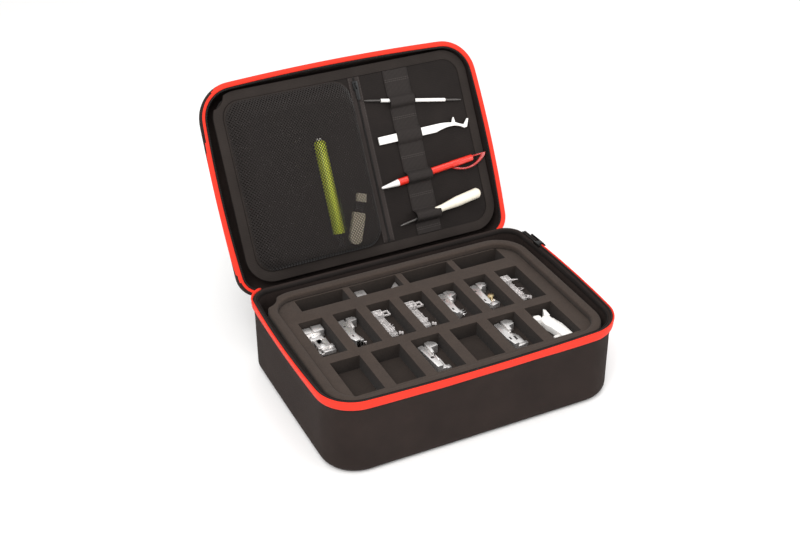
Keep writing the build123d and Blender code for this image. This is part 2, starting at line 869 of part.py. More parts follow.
# Each hump: middle, half width and height of the room below the strap
strap_rooms = [
    (
        double_crossing,
        double_tool_radius + double_wander + 2 * fit_gap,
        strap_room(double_depth, double_tool_radius),
    ),
    (flat_tool_left[1], flat_half + 4 * fit_gap, strap_room(flat_depth, 0)),
    (pen_crossing, pen_radius + pen_wander + 2 * fit_gap, strap_room(pen_depth, pen_radius)),
    (
        driver_crossing,
        driver_neck_radius + driver_wander + 2 * fit_gap,
        strap_room(driver_depth, driver_neck_radius),
    ),
]
strap_plane = Plane(
    origin=lid_point(strap_x - strap_width / 2, 0, 0), x_dir=lid_frame.y_dir, z_dir=lid_frame.x_dir
)

with BuildPart() as loop_strap:
    with BuildSketch(strap_plane):
        with Locations((pocket_zip_y, panel_face - strap_thickness / 2)):
            Rectangle(pocket_zip_length, strap_thickness)
        for middle, half, room in strap_rooms:
            with Locations((middle, panel_face - (room + strap_thickness) / 2)):
                Rectangle(2 * (half + strap_thickness), room + strap_thickness)
        for middle, half, room in strap_rooms:
            with Locations((middle, panel_face - room / 2)):
                Rectangle(2 * half, room, mode=Mode.SUBTRACT)
    extrude(amount=strap_width)
loop_strap.part.label = "loop_strap"
export_step(loop_strap.part, "parts/loop_strap.step")

# Presser feet, each in a pocket of the upper tray

foot_plane = Plane.XY.offset(pocket_floor + fit_gap)


def block(corner, size, plane=foot_plane):
    """Add a rectangular block from its left front corner."""
    with BuildSketch(plane) as base:
        with Locations((corner[0] + size[0] / 2, corner[1] + size[1] / 2)):
            Rectangle(size[0], size[1])
    extrude(base.sketch, amount=size[2])


def side_foot(centre, sole_width, toe_width, toe_length, ankle_length):
    """Foot that lies on its side: sole on the left, ankle block at the back, toe at the front."""
    left = centre[0] - ankle_width / 2
    back = centre[1] + side_foot_back
    sole_height = foot_height - sole_thickness
    with BuildPart() as foot:
        block((left, back - foot_length), (sole_width, foot_length, sole_height))
        block((left, back - ankle_length), (ankle_width, ankle_length, foot_height))
        block((left, back - web_length), (web_width, web_length, foot_height - web_drop))
        block((left, back - foot_length), (toe_width, toe_length, sole_thickness + web_drop))
        with BuildSketch(foot_plane.offset(sole_height)) as slot:
            with Locations((left + 0.7 * web_width, back - web_length / 2)):
                SlotOverall(foot_slot_length, foot_slot_width, rotation=90)
        extrude(slot.sketch, amount=sole_thickness, mode=Mode.SUBTRACT)
    return foot


def plate_foot(centre):
    """Flat foot with a needle slot, a split ankle block and a wide toe."""
    left = centre[0] - ankle_width / 2 + 1.0
    back = centre[1] + plate_foot_back
    with BuildPart() as foot:
        block((left - 1.6, back - 10), (9.0, 10, foot_height))
        block((left + 8.6, back - 11.4), (12.4, 11.4, foot_height - 1.0))
        block((left + 1.0, back - 20), (15.0, 14, 0.6 * foot_height))
        block((left + 3.0, back - 37), (15.0, 20, 0.55 * foot_height))
        block((left - 1.0, back - 42), (3.0, 32, 0.4 * foot_height))
        block((left - 1.0, back - foot_length), (22.0, 7.5, 0.4 * foot_height))
        with BuildSketch(foot_plane) as slot:
            with Locations((left + 9.4, back - 25)):
                Rectangle(*needle_slot)
        extrude(slot.sketch, amount=foot_height, mode=Mode.SUBTRACT)
    return foot


middle_centres = [pocket_centre(middle_row, middle_columns, index) for index in range(middle_columns)]
front_centres = [pocket_centre(front_row, front_columns, index) for index in range(front_columns)]
rear_centres = [pocket_centre(rear_row, rear_columns, index) for index in range(rear_columns)]

# Feet that lie on their side: place, sole width, toe width, toe length and ankle length
side_feet = {
    "narrow_foot": (middle_centres[1], 9.0, 12.0, 6.0, 8.5),
    "clear_foot_left": (middle_centres[2], 8.0, 21.0, 7.0, 11.0),
    "clear_foot_right": (middle_centres[3], 8.0, 21.0, 7.0, 11.0),
    "hem_foot": (middle_centres[4], 8.5, 14.0, 8.0, 15.0),
    "screw_foot": (middle_centres[5], 7.5, 18.0, 7.0, 8.0),
    "open_toe_foot": (middle_centres[6], 7.5, 17.5, 8.5, 9.0),
    "blind_foot": (front_centres[2], 8.0, 15.0, 18.0, 11.5),
    "wide_foot": (front_centres[4], 8.5, 21.5, 12.0, 11.0),
}
for name, sizes in side_feet.items():
    piece = side_foot(*sizes)
    piece.part.label = name
    export_step(piece.part, f"parts/{name}.step")

zigzag_foot = plate_foot(middle_centres[0])
zigzag_foot.part.label = "zigzag_foot"
export_step(zigzag_foot.part, "parts/zigzag_foot.step")

guide_x, guide_y = front_centres[5]

with BuildPart() as edge_guide:
    with BuildSketch(foot_plane):
        with BuildLine():
            Polyline(
                (guide_x - 13.0, guide_y + 24.0),
                (guide_x - 0.5, guide_y + 30.0),
                (guide_x + 1.0, guide_y + 26.0),
                (guide_x + 14.5, guide_y + 30.5),
                (guide_x + 14.5, guide_y + 22.0),
                (guide_x + 13.6, guide_y - 28.0),
                (guide_x - 8.0, guide_y - 28.0),
                (guide_x - 8.6, guide_y - 10.0),
                (guide_x - 5.0, guide_y - 7.6),
                (guide_x - 4.0, guide_y + 14.0),
                (guide_x - 13.0, guide_y + 17.0),
                close=True,
            )
        make_face()
    extrude(amount=0.5 * foot_height)
    block((guide_x + 5.5, guide_y - 8.0), (8.0, 36.0, foot_height))
    block((guide_x - 8.0, guide_y - 28.0), (20.0, 18.0, foot_height - 2.5))
    block((guide_x - 12.0, guide_y + 18.0), (9.0, 7.0, foot_height - 1.0))
edge_guide.part.label = "edge_guide"
export_step(edge_guide.part, "parts/edge_guide.step")

# The wire guides of the hem foot, and the thumb screw of the screw foot

hem_x, hem_y = middle_centres[4]
wire_height = pocket_floor + fit_gap + 2.4

with BuildPart() as hem_foot_wires:
    for wire_x, wire_length in ((6.2, 13.0), (9.0, 10.0)):
        wire_plane = Plane(origin=(hem_x + wire_x, hem_y - 12.0, wire_height), z_dir=(0, 1, 0))
        with BuildSketch(wire_plane) as wire:
            Circle(wire_radius)
        extrude(wire.sketch, amount=wire_length)
    cross_plane = Plane(origin=(hem_x + 3.6, hem_y - 11.2, wire_height), z_dir=(1, 0, 0))
    with BuildSketch(cross_plane) as cross_wire:
        Circle(wire_radius)
    extrude(cross_wire.sketch, amount=6.2)
hem_foot_wires.part.label = "hem_foot_wires"
export_step(hem_foot_wires.part, "parts/hem_foot_wires.step")

screw_x, screw_y = middle_centres[5]
screw_height = pocket_floor + fit_gap + 4.2
screw_start = screw_y + side_foot_back - foot_length + side_feet["screw_foot"][3] + 1.2
screw_plane = Plane(origin=(screw_x + 5.6, screw_start, screw_height), z_dir=(0, 1, 0))

with BuildPart() as foot_screw:
    with BuildSketch(screw_plane) as barrel:
        Circle(3.0)
    extrude(barrel.sketch, amount=9.0)
    with BuildSketch(screw_plane.offset(9.0)) as knob:
        Circle(4.0)
    extrude(knob.sketch, amount=4.0)
foot_screw.part.label = "foot_screw"
export_step(foot_screw.part, "parts/foot_screw.step")

# Wire bits and the long foot, in the rear row

bits_x, bits_y = rear_centres[0]

with BuildPart() as wire_guides:
    for offset_x in (14.5, 18.5, 22.5):
        bit_origin = (bits_x + offset_x, bits_y - 8.0, pocket_floor + fit_gap + wire_radius)
        bit_plane = Plane(origin=bit_origin, z_dir=(0.25, 1, 0))
        with BuildSketch(bit_plane) as bit:
            Circle(wire_radius)
        extrude(bit.sketch, amount=15.0)
        block((bits_x + offset_x - 1.0, bits_y - 10.5), (2.6, 3.0, 2.4))
wire_guides.part.label = "wire_guides"
export_step(wire_guides.part, "parts/wire_guides.step")

long_x, long_y = rear_centres[1]

with BuildPart() as long_foot:
    block((long_x - 24.5, long_y - 6.0), (12.0, 14.0, foot_height))
    block((long_x - 14.0, long_y - 6.0), (40.0, 5.5, 0.6 * foot_height))
    with BuildSketch(foot_plane):
        with BuildLine():
            Polyline(
                (long_x + 14.0, long_y - 6.0),
                (long_x + 27.0, long_y - 6.0),
                (long_x + 27.0, long_y + 7.5),
                close=True,
            )
        make_face()
    extrude(amount=foot_height)
long_foot.part.label = "long_foot"
export_step(long_foot.part, "parts/long_foot.step")

# Zip sliders. The slider's own plane has x along the zip and z away from the case.


def slider_arch(length):
    """Length of the small arch that holds the pull."""
    return 0.62 * length


def slider_bail(length, plate, plane, height):
    """Add the arch, above a plate whose top is at height."""
    arch = slider_arch(length)
    with BuildSketch(plane.offset(height)) as feet:
        with Locations((-(arch - plate) / 2, 0), ((arch - plate) / 2, 0)):
            Rectangle(plate, plate)
    extrude(feet.sketch, amount=2.4 * plate)
    with BuildSketch(plane.offset(height + 2.4 * plate)) as bar:
        Rectangle(arch, plate)
    extrude(bar.sketch, amount=0.6 * plate)


def slider_pull(sizes, plane, height):
    """Pull whose cross bar lies under the arch, reaching along the zip."""
    length, width, plate, pull_length, pull_width = sizes
    bar_half = 0.4 * plate
    eye_end = math.hypot(slider_arch(length) / 2, 1.9 * plate) + fit_gap
    with BuildPart() as pull:
        with BuildSketch(plane.offset(height + 0.7 * plate)) as flat:
            with Locations(((pull_length - bar_half) / 2, 0)):
                RectangleRounded(pull_length + bar_half, pull_width, 0.3 * pull_width)
            with Locations(((bar_half + eye_end) / 2, 0)):
                Rectangle(eye_end - bar_half, plate + 2 * fit_gap, mode=Mode.SUBTRACT)
        extrude(flat.sketch, amount=0.8 * plate)
    return pull


# Main slider: it rides on the right side of the rim, which is an arc about a far centre

side_front = -rim_front + rim_front_bow
side_rear = case_rear + tape_step
side_half = (side_rear - side_front) / 2
side_middle = (side_rear + side_front) / 2
side_radius = (side_half**2 + rim_side_bow**2) / (2 * rim_side_bow)
side_centre = (rim_half_width - side_radius, side_middle)
slider_turn = math.asin((main_slider_start - side_middle) / side_radius)
slider_out = Vector(math.cos(slider_turn), math.sin(slider_turn), 0)
slider_top = tape_drop - fit_gap
slider_drop = main_slider[1] / 2 - slider_top
slider_origin = Vector(*side_centre, rim_height - slider_drop) + slider_out * side_radius
slider_plane = Plane(origin=slider_origin, x_dir=Vector(0, 0, 1).cross(slider_out), z_dir=slider_out)

# The rim leans, so the slider's plates stand clear of it over their whole height
rim_lean = (rim_half_width - case_half_width - tape_step) / flare_height
slider_face = fit_gap + max(0, -rim_lean) * main_slider[1] / 2

with BuildPart() as zip_slider:
    length, width, plate = main_slider[:3]
    inner_face = coil_outer + coil_width + 2 * fit_gap + max(0, rim_lean) * lip_drop
    with BuildSketch(slider_plane.offset(slider_face)):
        RectangleRounded(length, width, 0.2 * width)
    extrude(amount=plate)
    inner_height = lip_drop - fit_gap + slider_top
    with BuildSketch(slider_plane.offset(-inner_face)):
        with Locations((0, (width - inner_height) / 2)):
            Rectangle(length, inner_height)
    extrude(amount=-plate)
    with BuildSketch(slider_plane.offset(-inner_face - plate)):
        with Locations((0, slider_drop)):
            Rectangle(length / 2, 2 * slider_top)
    extrude(amount=inner_face + plate + slider_face)
    slider_bail(length, plate, slider_plane, slider_face + plate)
zip_slider.part.label = "zip_slider"
export_step(zip_slider.part, "parts/zip_slider.step")

zip_slider_pull = slider_pull(main_slider, slider_plane, slider_face + main_slider[2])
zip_slider_pull.part.label = "zip_slider_pull"
export_step(zip_slider_pull.part, "parts/zip_slider_pull.step")

# Pocket slider: it rides on the coil of the mesh pocket's zip

pocket_slider_plane = Plane(
    origin=lid_point(pocket_zip_x, pocket_slider_start, pocket_coil_face),
    x_dir=lid_frame.y_dir,
    z_dir=-lid_frame.z_dir,
)

with BuildPart() as pocket_zip_slider:
    length, width, plate = pocket_slider[:3]
    with BuildSketch(pocket_slider_plane.offset(fit_gap)):
        RectangleRounded(length, width, 0.2 * width)
    extrude(amount=plate)
    flange = (width - pocket_coil_width) / 2 - fit_gap
    with BuildSketch(pocket_slider_plane.offset(fit_gap)):
        with Locations((0, (width - flange) / 2), (0, -(width - flange) / 2)):
            Rectangle(length - plate, flange)
    extrude(amount=-(pocket_coil_height - fit_gap))
    slider_bail(length, plate, pocket_slider_plane, fit_gap + plate)
pocket_zip_slider.part.label = "pocket_zip_slider"
export_step(pocket_zip_slider.part, "parts/pocket_zip_slider.step")

pocket_slider_pull = slider_pull(pocket_slider, pocket_slider_plane, fit_gap + pocket_slider[2])
pocket_slider_pull.part.label = "pocket_slider_pull"
export_step(pocket_slider_pull.part, "parts/pocket_slider_pull.step")
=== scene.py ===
import json
import math
import random
import bmesh
import bpy
from mathutils import Matrix, Vector, noise

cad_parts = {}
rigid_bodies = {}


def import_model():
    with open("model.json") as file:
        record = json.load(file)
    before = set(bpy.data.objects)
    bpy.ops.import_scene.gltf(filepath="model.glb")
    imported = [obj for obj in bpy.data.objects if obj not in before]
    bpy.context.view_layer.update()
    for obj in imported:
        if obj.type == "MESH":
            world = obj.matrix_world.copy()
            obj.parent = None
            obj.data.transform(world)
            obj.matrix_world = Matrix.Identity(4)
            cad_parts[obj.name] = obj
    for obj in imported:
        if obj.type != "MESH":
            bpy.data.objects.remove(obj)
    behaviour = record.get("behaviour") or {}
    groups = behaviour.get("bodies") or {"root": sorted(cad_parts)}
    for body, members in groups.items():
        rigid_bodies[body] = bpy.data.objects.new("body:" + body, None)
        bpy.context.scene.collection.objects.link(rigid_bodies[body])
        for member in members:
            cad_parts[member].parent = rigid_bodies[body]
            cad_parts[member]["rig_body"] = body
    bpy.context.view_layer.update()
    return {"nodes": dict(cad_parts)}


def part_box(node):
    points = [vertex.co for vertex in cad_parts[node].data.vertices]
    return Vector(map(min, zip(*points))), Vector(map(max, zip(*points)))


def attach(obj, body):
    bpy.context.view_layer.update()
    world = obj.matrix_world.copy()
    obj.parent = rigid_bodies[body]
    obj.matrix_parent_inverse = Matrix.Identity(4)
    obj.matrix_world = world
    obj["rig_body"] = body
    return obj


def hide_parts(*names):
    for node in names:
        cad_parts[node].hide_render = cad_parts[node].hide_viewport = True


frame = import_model()
nodes = frame["nodes"]
mm = 0.001

# The case in millimetres. X is the width, Y runs from front to hinge, Z is up.
case = {
    "halfWidth": 169.5, "front": 119.0, "rear": 118.4, "corner": 40.0, "rearCorner": 24.0, "bow": 0.5,
    "wall": 4.0, "bottomRound": 11.0, "rimHeight": 96.0, "lidDepth": 34.0, "lidRound": 18.0,
    "faceInset": 22.0, "openAngle": 119.05, "hingeDrop": 13.0,
}
rim = {
    "baseFlare": 24.0, "lidFlare": 14.0, "tapeStep": 2.0, "halfWidth": 176.0, "front": 126.0, "corner": 42.0,
    "sideBow": 5.5, "frontBow": 6.0, "lipDrop": 3.0, "tapeThickness": 1.8, "coilWidth": 2.2,
    "tabStart": 60.0, "tabEnd": 96.0, "tapeEnd": 117.5, "straight": 149.9, "tapePoints": 190,
}

# Places: base points are measured down from the parting plane, lid points in from it
turn = math.radians(case["openAngle"])
hingeY = case["rear"] + 0.1
hingeZ = case["rimHeight"] - case["hingeDrop"]
lidY = Vector((0, math.cos(turn), -math.sin(turn)))
lidW = Vector((0, math.sin(turn), math.cos(turn)))
lidOrigin = Vector((
    0,
    hingeY - hingeY * math.cos(turn) + case["hingeDrop"] * math.sin(turn),
    hingeZ + hingeY * math.sin(turn) + case["hingeDrop"] * math.cos(turn),
))


def basePlace(x, y, drop):
    return Vector((x, y, case["rimHeight"] - drop)) * mm


def lidPlace(x, y, depth):
    return (lidOrigin + Vector((x, 0, 0)) + lidY * y + lidW * depth) * mm


# Materials

waveScale = 0.31416  # scale of a wave texture with one band in each metre


def linear(hexColour):
    parts = [int(hexColour[i:i + 2], 16) / 255 for i in (1, 3, 5)]
    return [((p + 0.055) / 1.055) ** 2.4 if p > 0.04045 else p / 12.92 for p in parts] + [1.0]


def addNode(tree, kind, settings=None, links=None):  # settings are node options or socket values
    node = tree.nodes.new(kind)
    for key, value in (settings or {}).items():
        if isinstance(key, str) and hasattr(node, key):
            setattr(node, key, value)
        else:
            node.inputs[key].default_value = value
    for key, socket in (links or {}).items():
        tree.links.new(socket, node.inputs[key])
    return node


def startMaterial(name, colour, roughness, settings=None):
    material = bpy.data.materials.new(name)
    material.use_nodes = True
    tree = material.node_tree
    tree.nodes.clear()
    shader = addNode(tree, "ShaderNodeBsdfPrincipled", {"Base Color": linear(colour), "Roughness": roughness})
    for key, value in (settings or {}).items():
        shader.inputs[key].default_value = value
    addNode(tree, "ShaderNodeOutputMaterial", links={"Surface": shader.outputs[0]})
    material.diffuse_color = linear(colour)
    place = addNode(tree, "ShaderNodeTexCoord")
    return material, tree, shader, place


def tint(tree, shader, factor, low, high):  # colour between two hex colours
    mix = addNode(tree, "ShaderNodeMix", {"data_type": "RGBA", 6: linear(low), 7: linear(high)}, {0: factor})
    tree.links.new(mix.outputs[2], shader.inputs["Base Color"])


def bump(tree, shader, height, depth, strength=1.0, below=None):  # depth in metres
    links = {"Height": height}
    if below:
        links["Normal"] = below.outputs[0]
    node = addNode(tree, "ShaderNodeBump", {"Distance": depth, "Strength": strength}, links)
    tree.links.new(node.outputs[0], shader.inputs["Normal"])
    return node


def noiseOf(tree, coordinates, scale, detail, roughness=0.5):
    settings = {"Scale": scale, "Detail": detail, "Roughness": roughness}
    return addNode(tree, "ShaderNodeTexNoise", settings, {"Vector": coordinates}).outputs["Fac"]


def ribsOf(tree, coordinates, direction, pitch, settings=None):  # parallel ribs, pitch in metres
    options = {"bands_direction": direction, "Scale": waveScale / pitch, **(settings or {})}
    return addNode(tree, "ShaderNodeTexWave", options, {"Vector": coordinates}).outputs["Fac"]


def sumOf(tree, first, share, second):  # first times share, plus second
    node = addNode(tree, "ShaderNodeMath", {"operation": "MULTIPLY_ADD", 1: share}, {0: first, 2: second})
    return node.outputs[0]


def weaveHeight(tree, coordinates, pitch):  # plain weave from two crossed sets of threads
    uneven = {"Distortion": 0.6, "Detail": 1.0, "Detail Scale": 2.0}
    warp, weft = (ribsOf(tree, coordinates, direction, pitch, uneven) for direction in ("X", "Y"))
    return addNode(tree, "ShaderNodeMath", {"operation": "MULTIPLY"}, {0: warp, 1: weft}).outputs[0]


def caseCloth():
    # 600D polyester laminated to moulded EVA: dull, brown-black, with a fine plain weave.
    # The real threads are 0.4 mm apart; they are drawn 0.9 mm apart so that they show.
    material, tree, shader, place = startMaterial("polyester600D", "#332b2a", 0.9, {
        "Sheen Weight": 0.06, "Sheen Roughness": 0.5, "Sheen Tint": linear("#8c7b72"),
        "Specular IOR Level": 0.15})
    weave = weaveHeight(tree, place.outputs["UV"], 0.9 * mm)
    cloud = noiseOf(tree, place.outputs["Object"], 26.0, 4.0, 0.6)
    tint(tree, shader, sumOf(tree, weave, 0.35, cloud), "#1a1513", "#2e2522")
    bump(tree, shader, weave, 0.22 * mm, 0.7)
    return material


def redTapeCloth():
    # Polyester zip tape: dense ribs run across the tape, with a soft sheen on the crowns.
    material, tree, shader, place = startMaterial("zipTapePolyester", "#e8301e", 0.7, {
        "Sheen Weight": 0.1, "Sheen Roughness": 0.4, "Sheen Tint": linear("#ff9a86"),
        "Specular IOR Level": 0.25})
    ribs = ribsOf(tree, place.outputs["UV"], "X", 1.1 * mm, {"Distortion": 0.3})
    fine = noiseOf(tree, place.outputs["UV"], 900.0, 2.0)
    both = sumOf(tree, ribs, 0.6, fine)
    tint(tree, shader, both, "#bb1a0e", "#e8331f")
    bump(tree, shader, both, 0.12 * mm, 0.5)
    return material


def blackCloth(name, low, high, pitch):
    # Brushed nylon tricot, taffeta or elastic: nearly black, fine regular threads, little sheen.
    material, tree, shader, place = startMaterial(name, low, 0.88, {
        "Sheen Weight": 0.06, "Sheen Tint": linear("#6f6661"), "Specular IOR Level": 0.15})
    weave = weaveHeight(tree, place.outputs["Object"], pitch)
    cloud = noiseOf(tree, place.outputs["Object"], 30.0, 3.0)
    tint(tree, shader, sumOf(tree, weave, 0.4, cloud), low, high)
    bump(tree, shader, weave, 0.15 * mm, 0.6)
    return material


def ribbedElastic():
    # Woven elastic: cords of rubber run along it 1.6 mm apart, wrapped in grey-black polyester.
    material, tree, shader, place = startMaterial(
        "wovenElastic", "#2b2624", 0.85, {"Specular IOR Level": 0.2})
    cords = ribsOf(tree, place.outputs["UV"], "Y", 1.6 * mm)
    weft = ribsOf(tree, place.outputs["UV"], "X", 0.9 * mm, {"Distortion": 0.5})
    both = sumOf(tree, weft, 0.35, cords)
    tint(tree, shader, both, "#1a1716", "#302b29")
    bump(tree, shader, both, 0.25 * mm, 0.7)
    return material


def evaFoam(name, low, high):
    # Closed-cell EVA, die cut: matt brown-grey, tiny open cells and a faint mottle.
    material, tree, shader, place = startMaterial(name, low, 0.95, {
        "Sheen Weight": 0.05, "Sheen Roughness": 0.6, "Specular IOR Level": 0.12})
    where = place.outputs["Object"]
    cells = addNode(tree, "ShaderNodeTexVoronoi", {"Scale": 1 / (0.9 * mm)}, {"Vector": where})
    cloud = noiseOf(tree, where, 60.0, 5.0, 0.65)
    mottle = sumOf(tree, cloud, 0.5, noiseOf(tree, where, 700.0, 2.0))
    shift = addNode(tree, "ShaderNodeMath", {"operation": "SUBTRACT", 1: 0.3}, {0: mottle})
    tint(tree, shader, shift.outputs[0], low, high)
    pitted = bump(tree, shader, cells.outputs["Distance"], 0.18 * mm, 0.6)
    bump(tree, shader, cloud, 0.5 * mm, 0.3, pitted)
    return material


def moulded(name, colour, roughness, settings=None, speck=0.06):
    # Injection-moulded plastic: an even colour with a slight flow mottle and a fine surface ripple.
    material, tree, shader, place = startMaterial(name, colour, roughness, settings)
    flow = noiseOf(tree, place.outputs["Object"], 90.0, 2.0)
    value = addNode(tree, "ShaderNodeMapRange", {"To Min": 1 - speck, "To Max": 1 + speck}, {"Value": flow})
    mottled = addNode(tree, "ShaderNodeHueSaturation", {"Color": linear(colour)}, {"Value": value.outputs[0]})
    tree.links.new(mottled.outputs[0], shader.inputs["Base Color"])
    bump(tree, shader, flow, 0.05 * mm, 0.35)
    return material


def platedSteel(name, colour, roughness, metal=1.0):
    # Nickel-plated steel: bright, with fine polishing lines and small smears in the gloss.
    material, tree, shader, place = startMaterial(name, colour, roughness, {"Metallic": metal})
    where = place.outputs["Object"]
    stretch = addNode(tree, "ShaderNodeMapping", {"Scale": (1500.0, 200.0, 700.0)}, {"Vector": where})
    lines = noiseOf(tree, stretch.outputs[0], 1.0, 3.0)
    smear = noiseOf(tree, where, 220.0, 2.0)
    rough = addNode(tree, "ShaderNodeMapRange", {"To Min": roughness * 0.7, "To Max": roughness * 1.5},
                    {"Value": smear})
    tree.links.new(rough.outputs[0], shader.inputs["Roughness"])
    bump(tree, shader, lines, 0.02 * mm, 0.3)
    return material


def clearPlastic(name, colour, alpha, clearness=0.85):
    # Clear polycarbonate: mostly see-through. A whitish, less clear copy of it draws the bright edges of the
    # clear feet, as a painted highlight.
    material, tree, shader, place = startMaterial(
        name, colour, 0.12, {"Transmission Weight": clearness, "IOR": 1.45, "Alpha": alpha})
    ripple = noiseOf(tree, place.outputs["Object"], 420.0, 2.0)
    cover = addNode(tree, "ShaderNodeMapRange",
                    {"From Min": 0.4, "From Max": 0.62,
                     "To Min": alpha * 0.55, "To Max": min(alpha * 1.6, 1.0)},
                    {"Value": ripple})
    tree.links.new(cover.outputs[0], shader.inputs["Alpha"])
    bump(tree, shader, ripple, 0.3 * mm, 0.5)
    return material


def knittedMesh():
    # Knitted polyester mesh: round holes in staggered rows. The real holes are 1.5 mm apart; they are
    # drawn 3.4 mm apart so that they show.
    material, tree, shader, place = startMaterial(
        "knittedMesh", "#191615", 0.85, {"Sheen Weight": 0.1, "Specular IOR Level": 0.2})
    pitch = 3.4 * mm
    dots = []
    for offset in (0.0, 0.5):
        scaled = addNode(tree, "ShaderNodeMapping",
                         {"Scale": (1 / pitch, 1 / (pitch * 1.2), 1.0), "Location": (offset, offset, 0)},
                         {"Vector": place.outputs["UV"]})
        cell = addNode(tree, "ShaderNodeVectorMath", {"operation": "FRACTION"}, {0: scaled.outputs[0]})
        centred = addNode(tree, "ShaderNodeVectorMath", {"operation": "SUBTRACT", 1: (0.5, 0.5, 0.0)},
                          {0: cell.outputs[0]})
        squashed = addNode(tree, "ShaderNodeVectorMath", {"operation": "MULTIPLY", 1: (1.0, 1.2, 0.0)},
                           {0: centred.outputs[0]})
        away = addNode(tree, "ShaderNodeVectorMath", {"operation": "LENGTH"}, {0: squashed.outputs[0]})
        dots.append(away.outputs["Value"])
    nearest = addNode(tree, "ShaderNodeMath", {"operation": "MINIMUM"}, {0: dots[0], 1: dots[1]}).outputs[0]
    thread = addNode(tree, "ShaderNodeMapRange", {"From Min": 0.22, "From Max": 0.28}, {"Value": nearest})
    tree.links.new(thread.outputs[0], shader.inputs["Alpha"])
    tint(tree, shader, nearest, "#2b2624", "#0c0b0a")
    bump(tree, shader, nearest, 0.3 * mm, 0.6)
    return material


finish = {
    "cloth": caseCloth(),
    "redTape": redTapeCloth(),
    "lining": blackCloth("nylonTaffeta", "#161312", "#25201e", 0.8 * mm),
    "panel": blackCloth("brushedTricot", "#151211", "#25201e", 1.0 * mm),
    "binding": blackCloth("grosgrainBinding", "#1d1917", "#302a27", 0.9 * mm),
    "elastic": ribbedElastic(),
    "pocketTape": blackCloth("pocketZipTape", "#221e1c", "#383230", 0.8 * mm),
    "foam": evaFoam("evaTrayFoam", "#2f2824", "#473c35"),
    # darker copy of the tray foam for the upright cut walls: partly open cells, partly painted shade
    "foamCutAndShade": evaFoam("evaCutWallAndShade", "#1f1a17", "#312924"),
    # darker foam for the pocket floors, the lower tray and the lid foam; on the pocket floors the darker
    # colour is painted shade
    "foamDark": evaFoam("evaLowerFoam", "#221d1a", "#352c27"),
    "coil": moulded("nylonCoil", "#191716", 0.45, {"Specular IOR Level": 0.3}),
    "thread": moulded("sewingThread", "#4b4542", 0.7, {"Specular IOR Level": 0.3}),
    "net": knittedMesh(),
    "enamel": moulded("enamelledZinc", "#141414", 0.35, {"Metallic": 0.3}),
    "white": moulded("whiteAbs", "#e9e6e2", 0.32),
    "ivory": moulded("ivoryAbs", "#ece4d2", 0.34),
    "red": moulded("redPolystyrene", "#d82a1a", 0.22, {"Coat Weight": 0.4}),
    "clearRed": moulded("tintedPolycarbonate", "#c41d14", 0.16,
                        {"Transmission Weight": 0.35, "Coat Weight": 0.5}),
    "greyMetal": platedSteel("greyToolSteel", "#5f5c5a", 0.4),
    "lime": moulded("limePolypropylene", "#e4ef34", 0.35),
    "clearLime": clearPlastic("limePolycarbonate", "#b7cc2a", 0.85),
    "smoke": clearPlastic("smokedPlastic", "#4a4548", 0.8),
    "beige": moulded("beigeNylon", "#efe1c6", 0.6),
    "steel": platedSteel("nickelPlatedSteel", "#f1eeec", 0.27, 0.86),
    "clear": clearPlastic("clearPolycarbonate", "#e6e1df", 0.5, 0.3),
    # painted highlight: whitish, less clear plastic for the bright edges of the clear feet
    "clearEdge": clearPlastic("paintedEdgeHighlight", "#f4eeec", 0.85, 0.25),
    "shade": moulded("shadowedRecess", "#2a2523", 0.8),
    "brass": platedSteel("brassThumbScrew", "#e6d3a6", 0.3),
}
print("materials made:", len(finish))

# Mesh tools

def addObject(name, mesh):
    piece = bpy.data.objects.new(name, mesh)
    bpy.context.scene.collection.objects.link(piece)
    return piece


def meshPiece(name, points, faces, material, uv):
    mesh = bpy.data.meshes.new(name)
    mesh.from_pydata([tuple(p) for p in points], [], faces)
    layer = mesh.uv_layers.new(name="UVMap")
    for index, place in enumerate(uv):
        layer.data[index].uv = place
    mesh.materials.append(material)
    for polygon in mesh.polygons:
        polygon.use_smooth = True
    piece = addObject(name, mesh)
    faceOutwards(piece)
    return piece


def faceOutwards(piece):
    work = bmesh.new()
    work.from_mesh(piece.data)
    bmesh.ops.recalc_face_normals(work, faces=work.faces)
    work.to_mesh(piece.data)
    work.free()


# rows[i][j]: i goes across the profile, j along the path
def skin(name, rows, material, closePath=True, closeProfile=False, caps=False):
    count = len(rows[0])
    longest = max(rows, key=lambda row: sum((row[j] - row[j - 1]).length for j in range(1, count)))
    along = [0.0]
    for j in range(1, count + (1 if closePath else 0)):
        along.append(along[-1] + (longest[j % count] - longest[j - 1]).length)
    across = [0.0]
    for i in range(1, len(rows) + (1 if closeProfile else 0)):
        step = sum((rows[i % len(rows)][j] - rows[i - 1][j]).length for j in range(count)) / count
        across.append(across[-1] + step)
    points = [p for row in rows for p in row]
    faces, uv = [], []
    for i in range(len(rows) - (0 if closeProfile else 1)):
        for j in range(count - (0 if closePath else 1)):
            nextI, nextJ = (i + 1) % len(rows), (j + 1) % count
            faces.append((i * count + j, i * count + nextJ, nextI * count + nextJ, nextI * count + j))
            uv += [(along[j], across[i]), (along[j + 1], across[i]), (along[j + 1], across[i + 1]),
                   (along[j], across[i + 1])]
    if caps and closePath:
        for i in (0, len(rows) - 1):
            faces.append(tuple(i * count + j for j in range(count)))
            uv += [(p.x, p.y) for p in rows[i]]
    if caps and not closePath:
        for j in (0, count - 1):
            faces.append(tuple(i * count + j for i in range(len(rows))))
            uv += [(rows[i][j].x, rows[i][j].z) for i in range(len(rows))]
    return meshPiece(name, points, faces, material, uv)


def capped(name, rows, material):  # open along its path, closed round its section, with both ends shut
    return skin(name, rows, material, closePath=False, closeProfile=True, caps=True)


def stand(piece, body, slot, *replaced):  # the piece rides on a body and stands for CAD nodes
    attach(piece, body)
    if replaced:
        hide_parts(*replaced)
    return piece


def dress(nodeName, material):
    node = nodes[nodeName]
    node.data.materials.clear()
    node.data.materials.append(material)


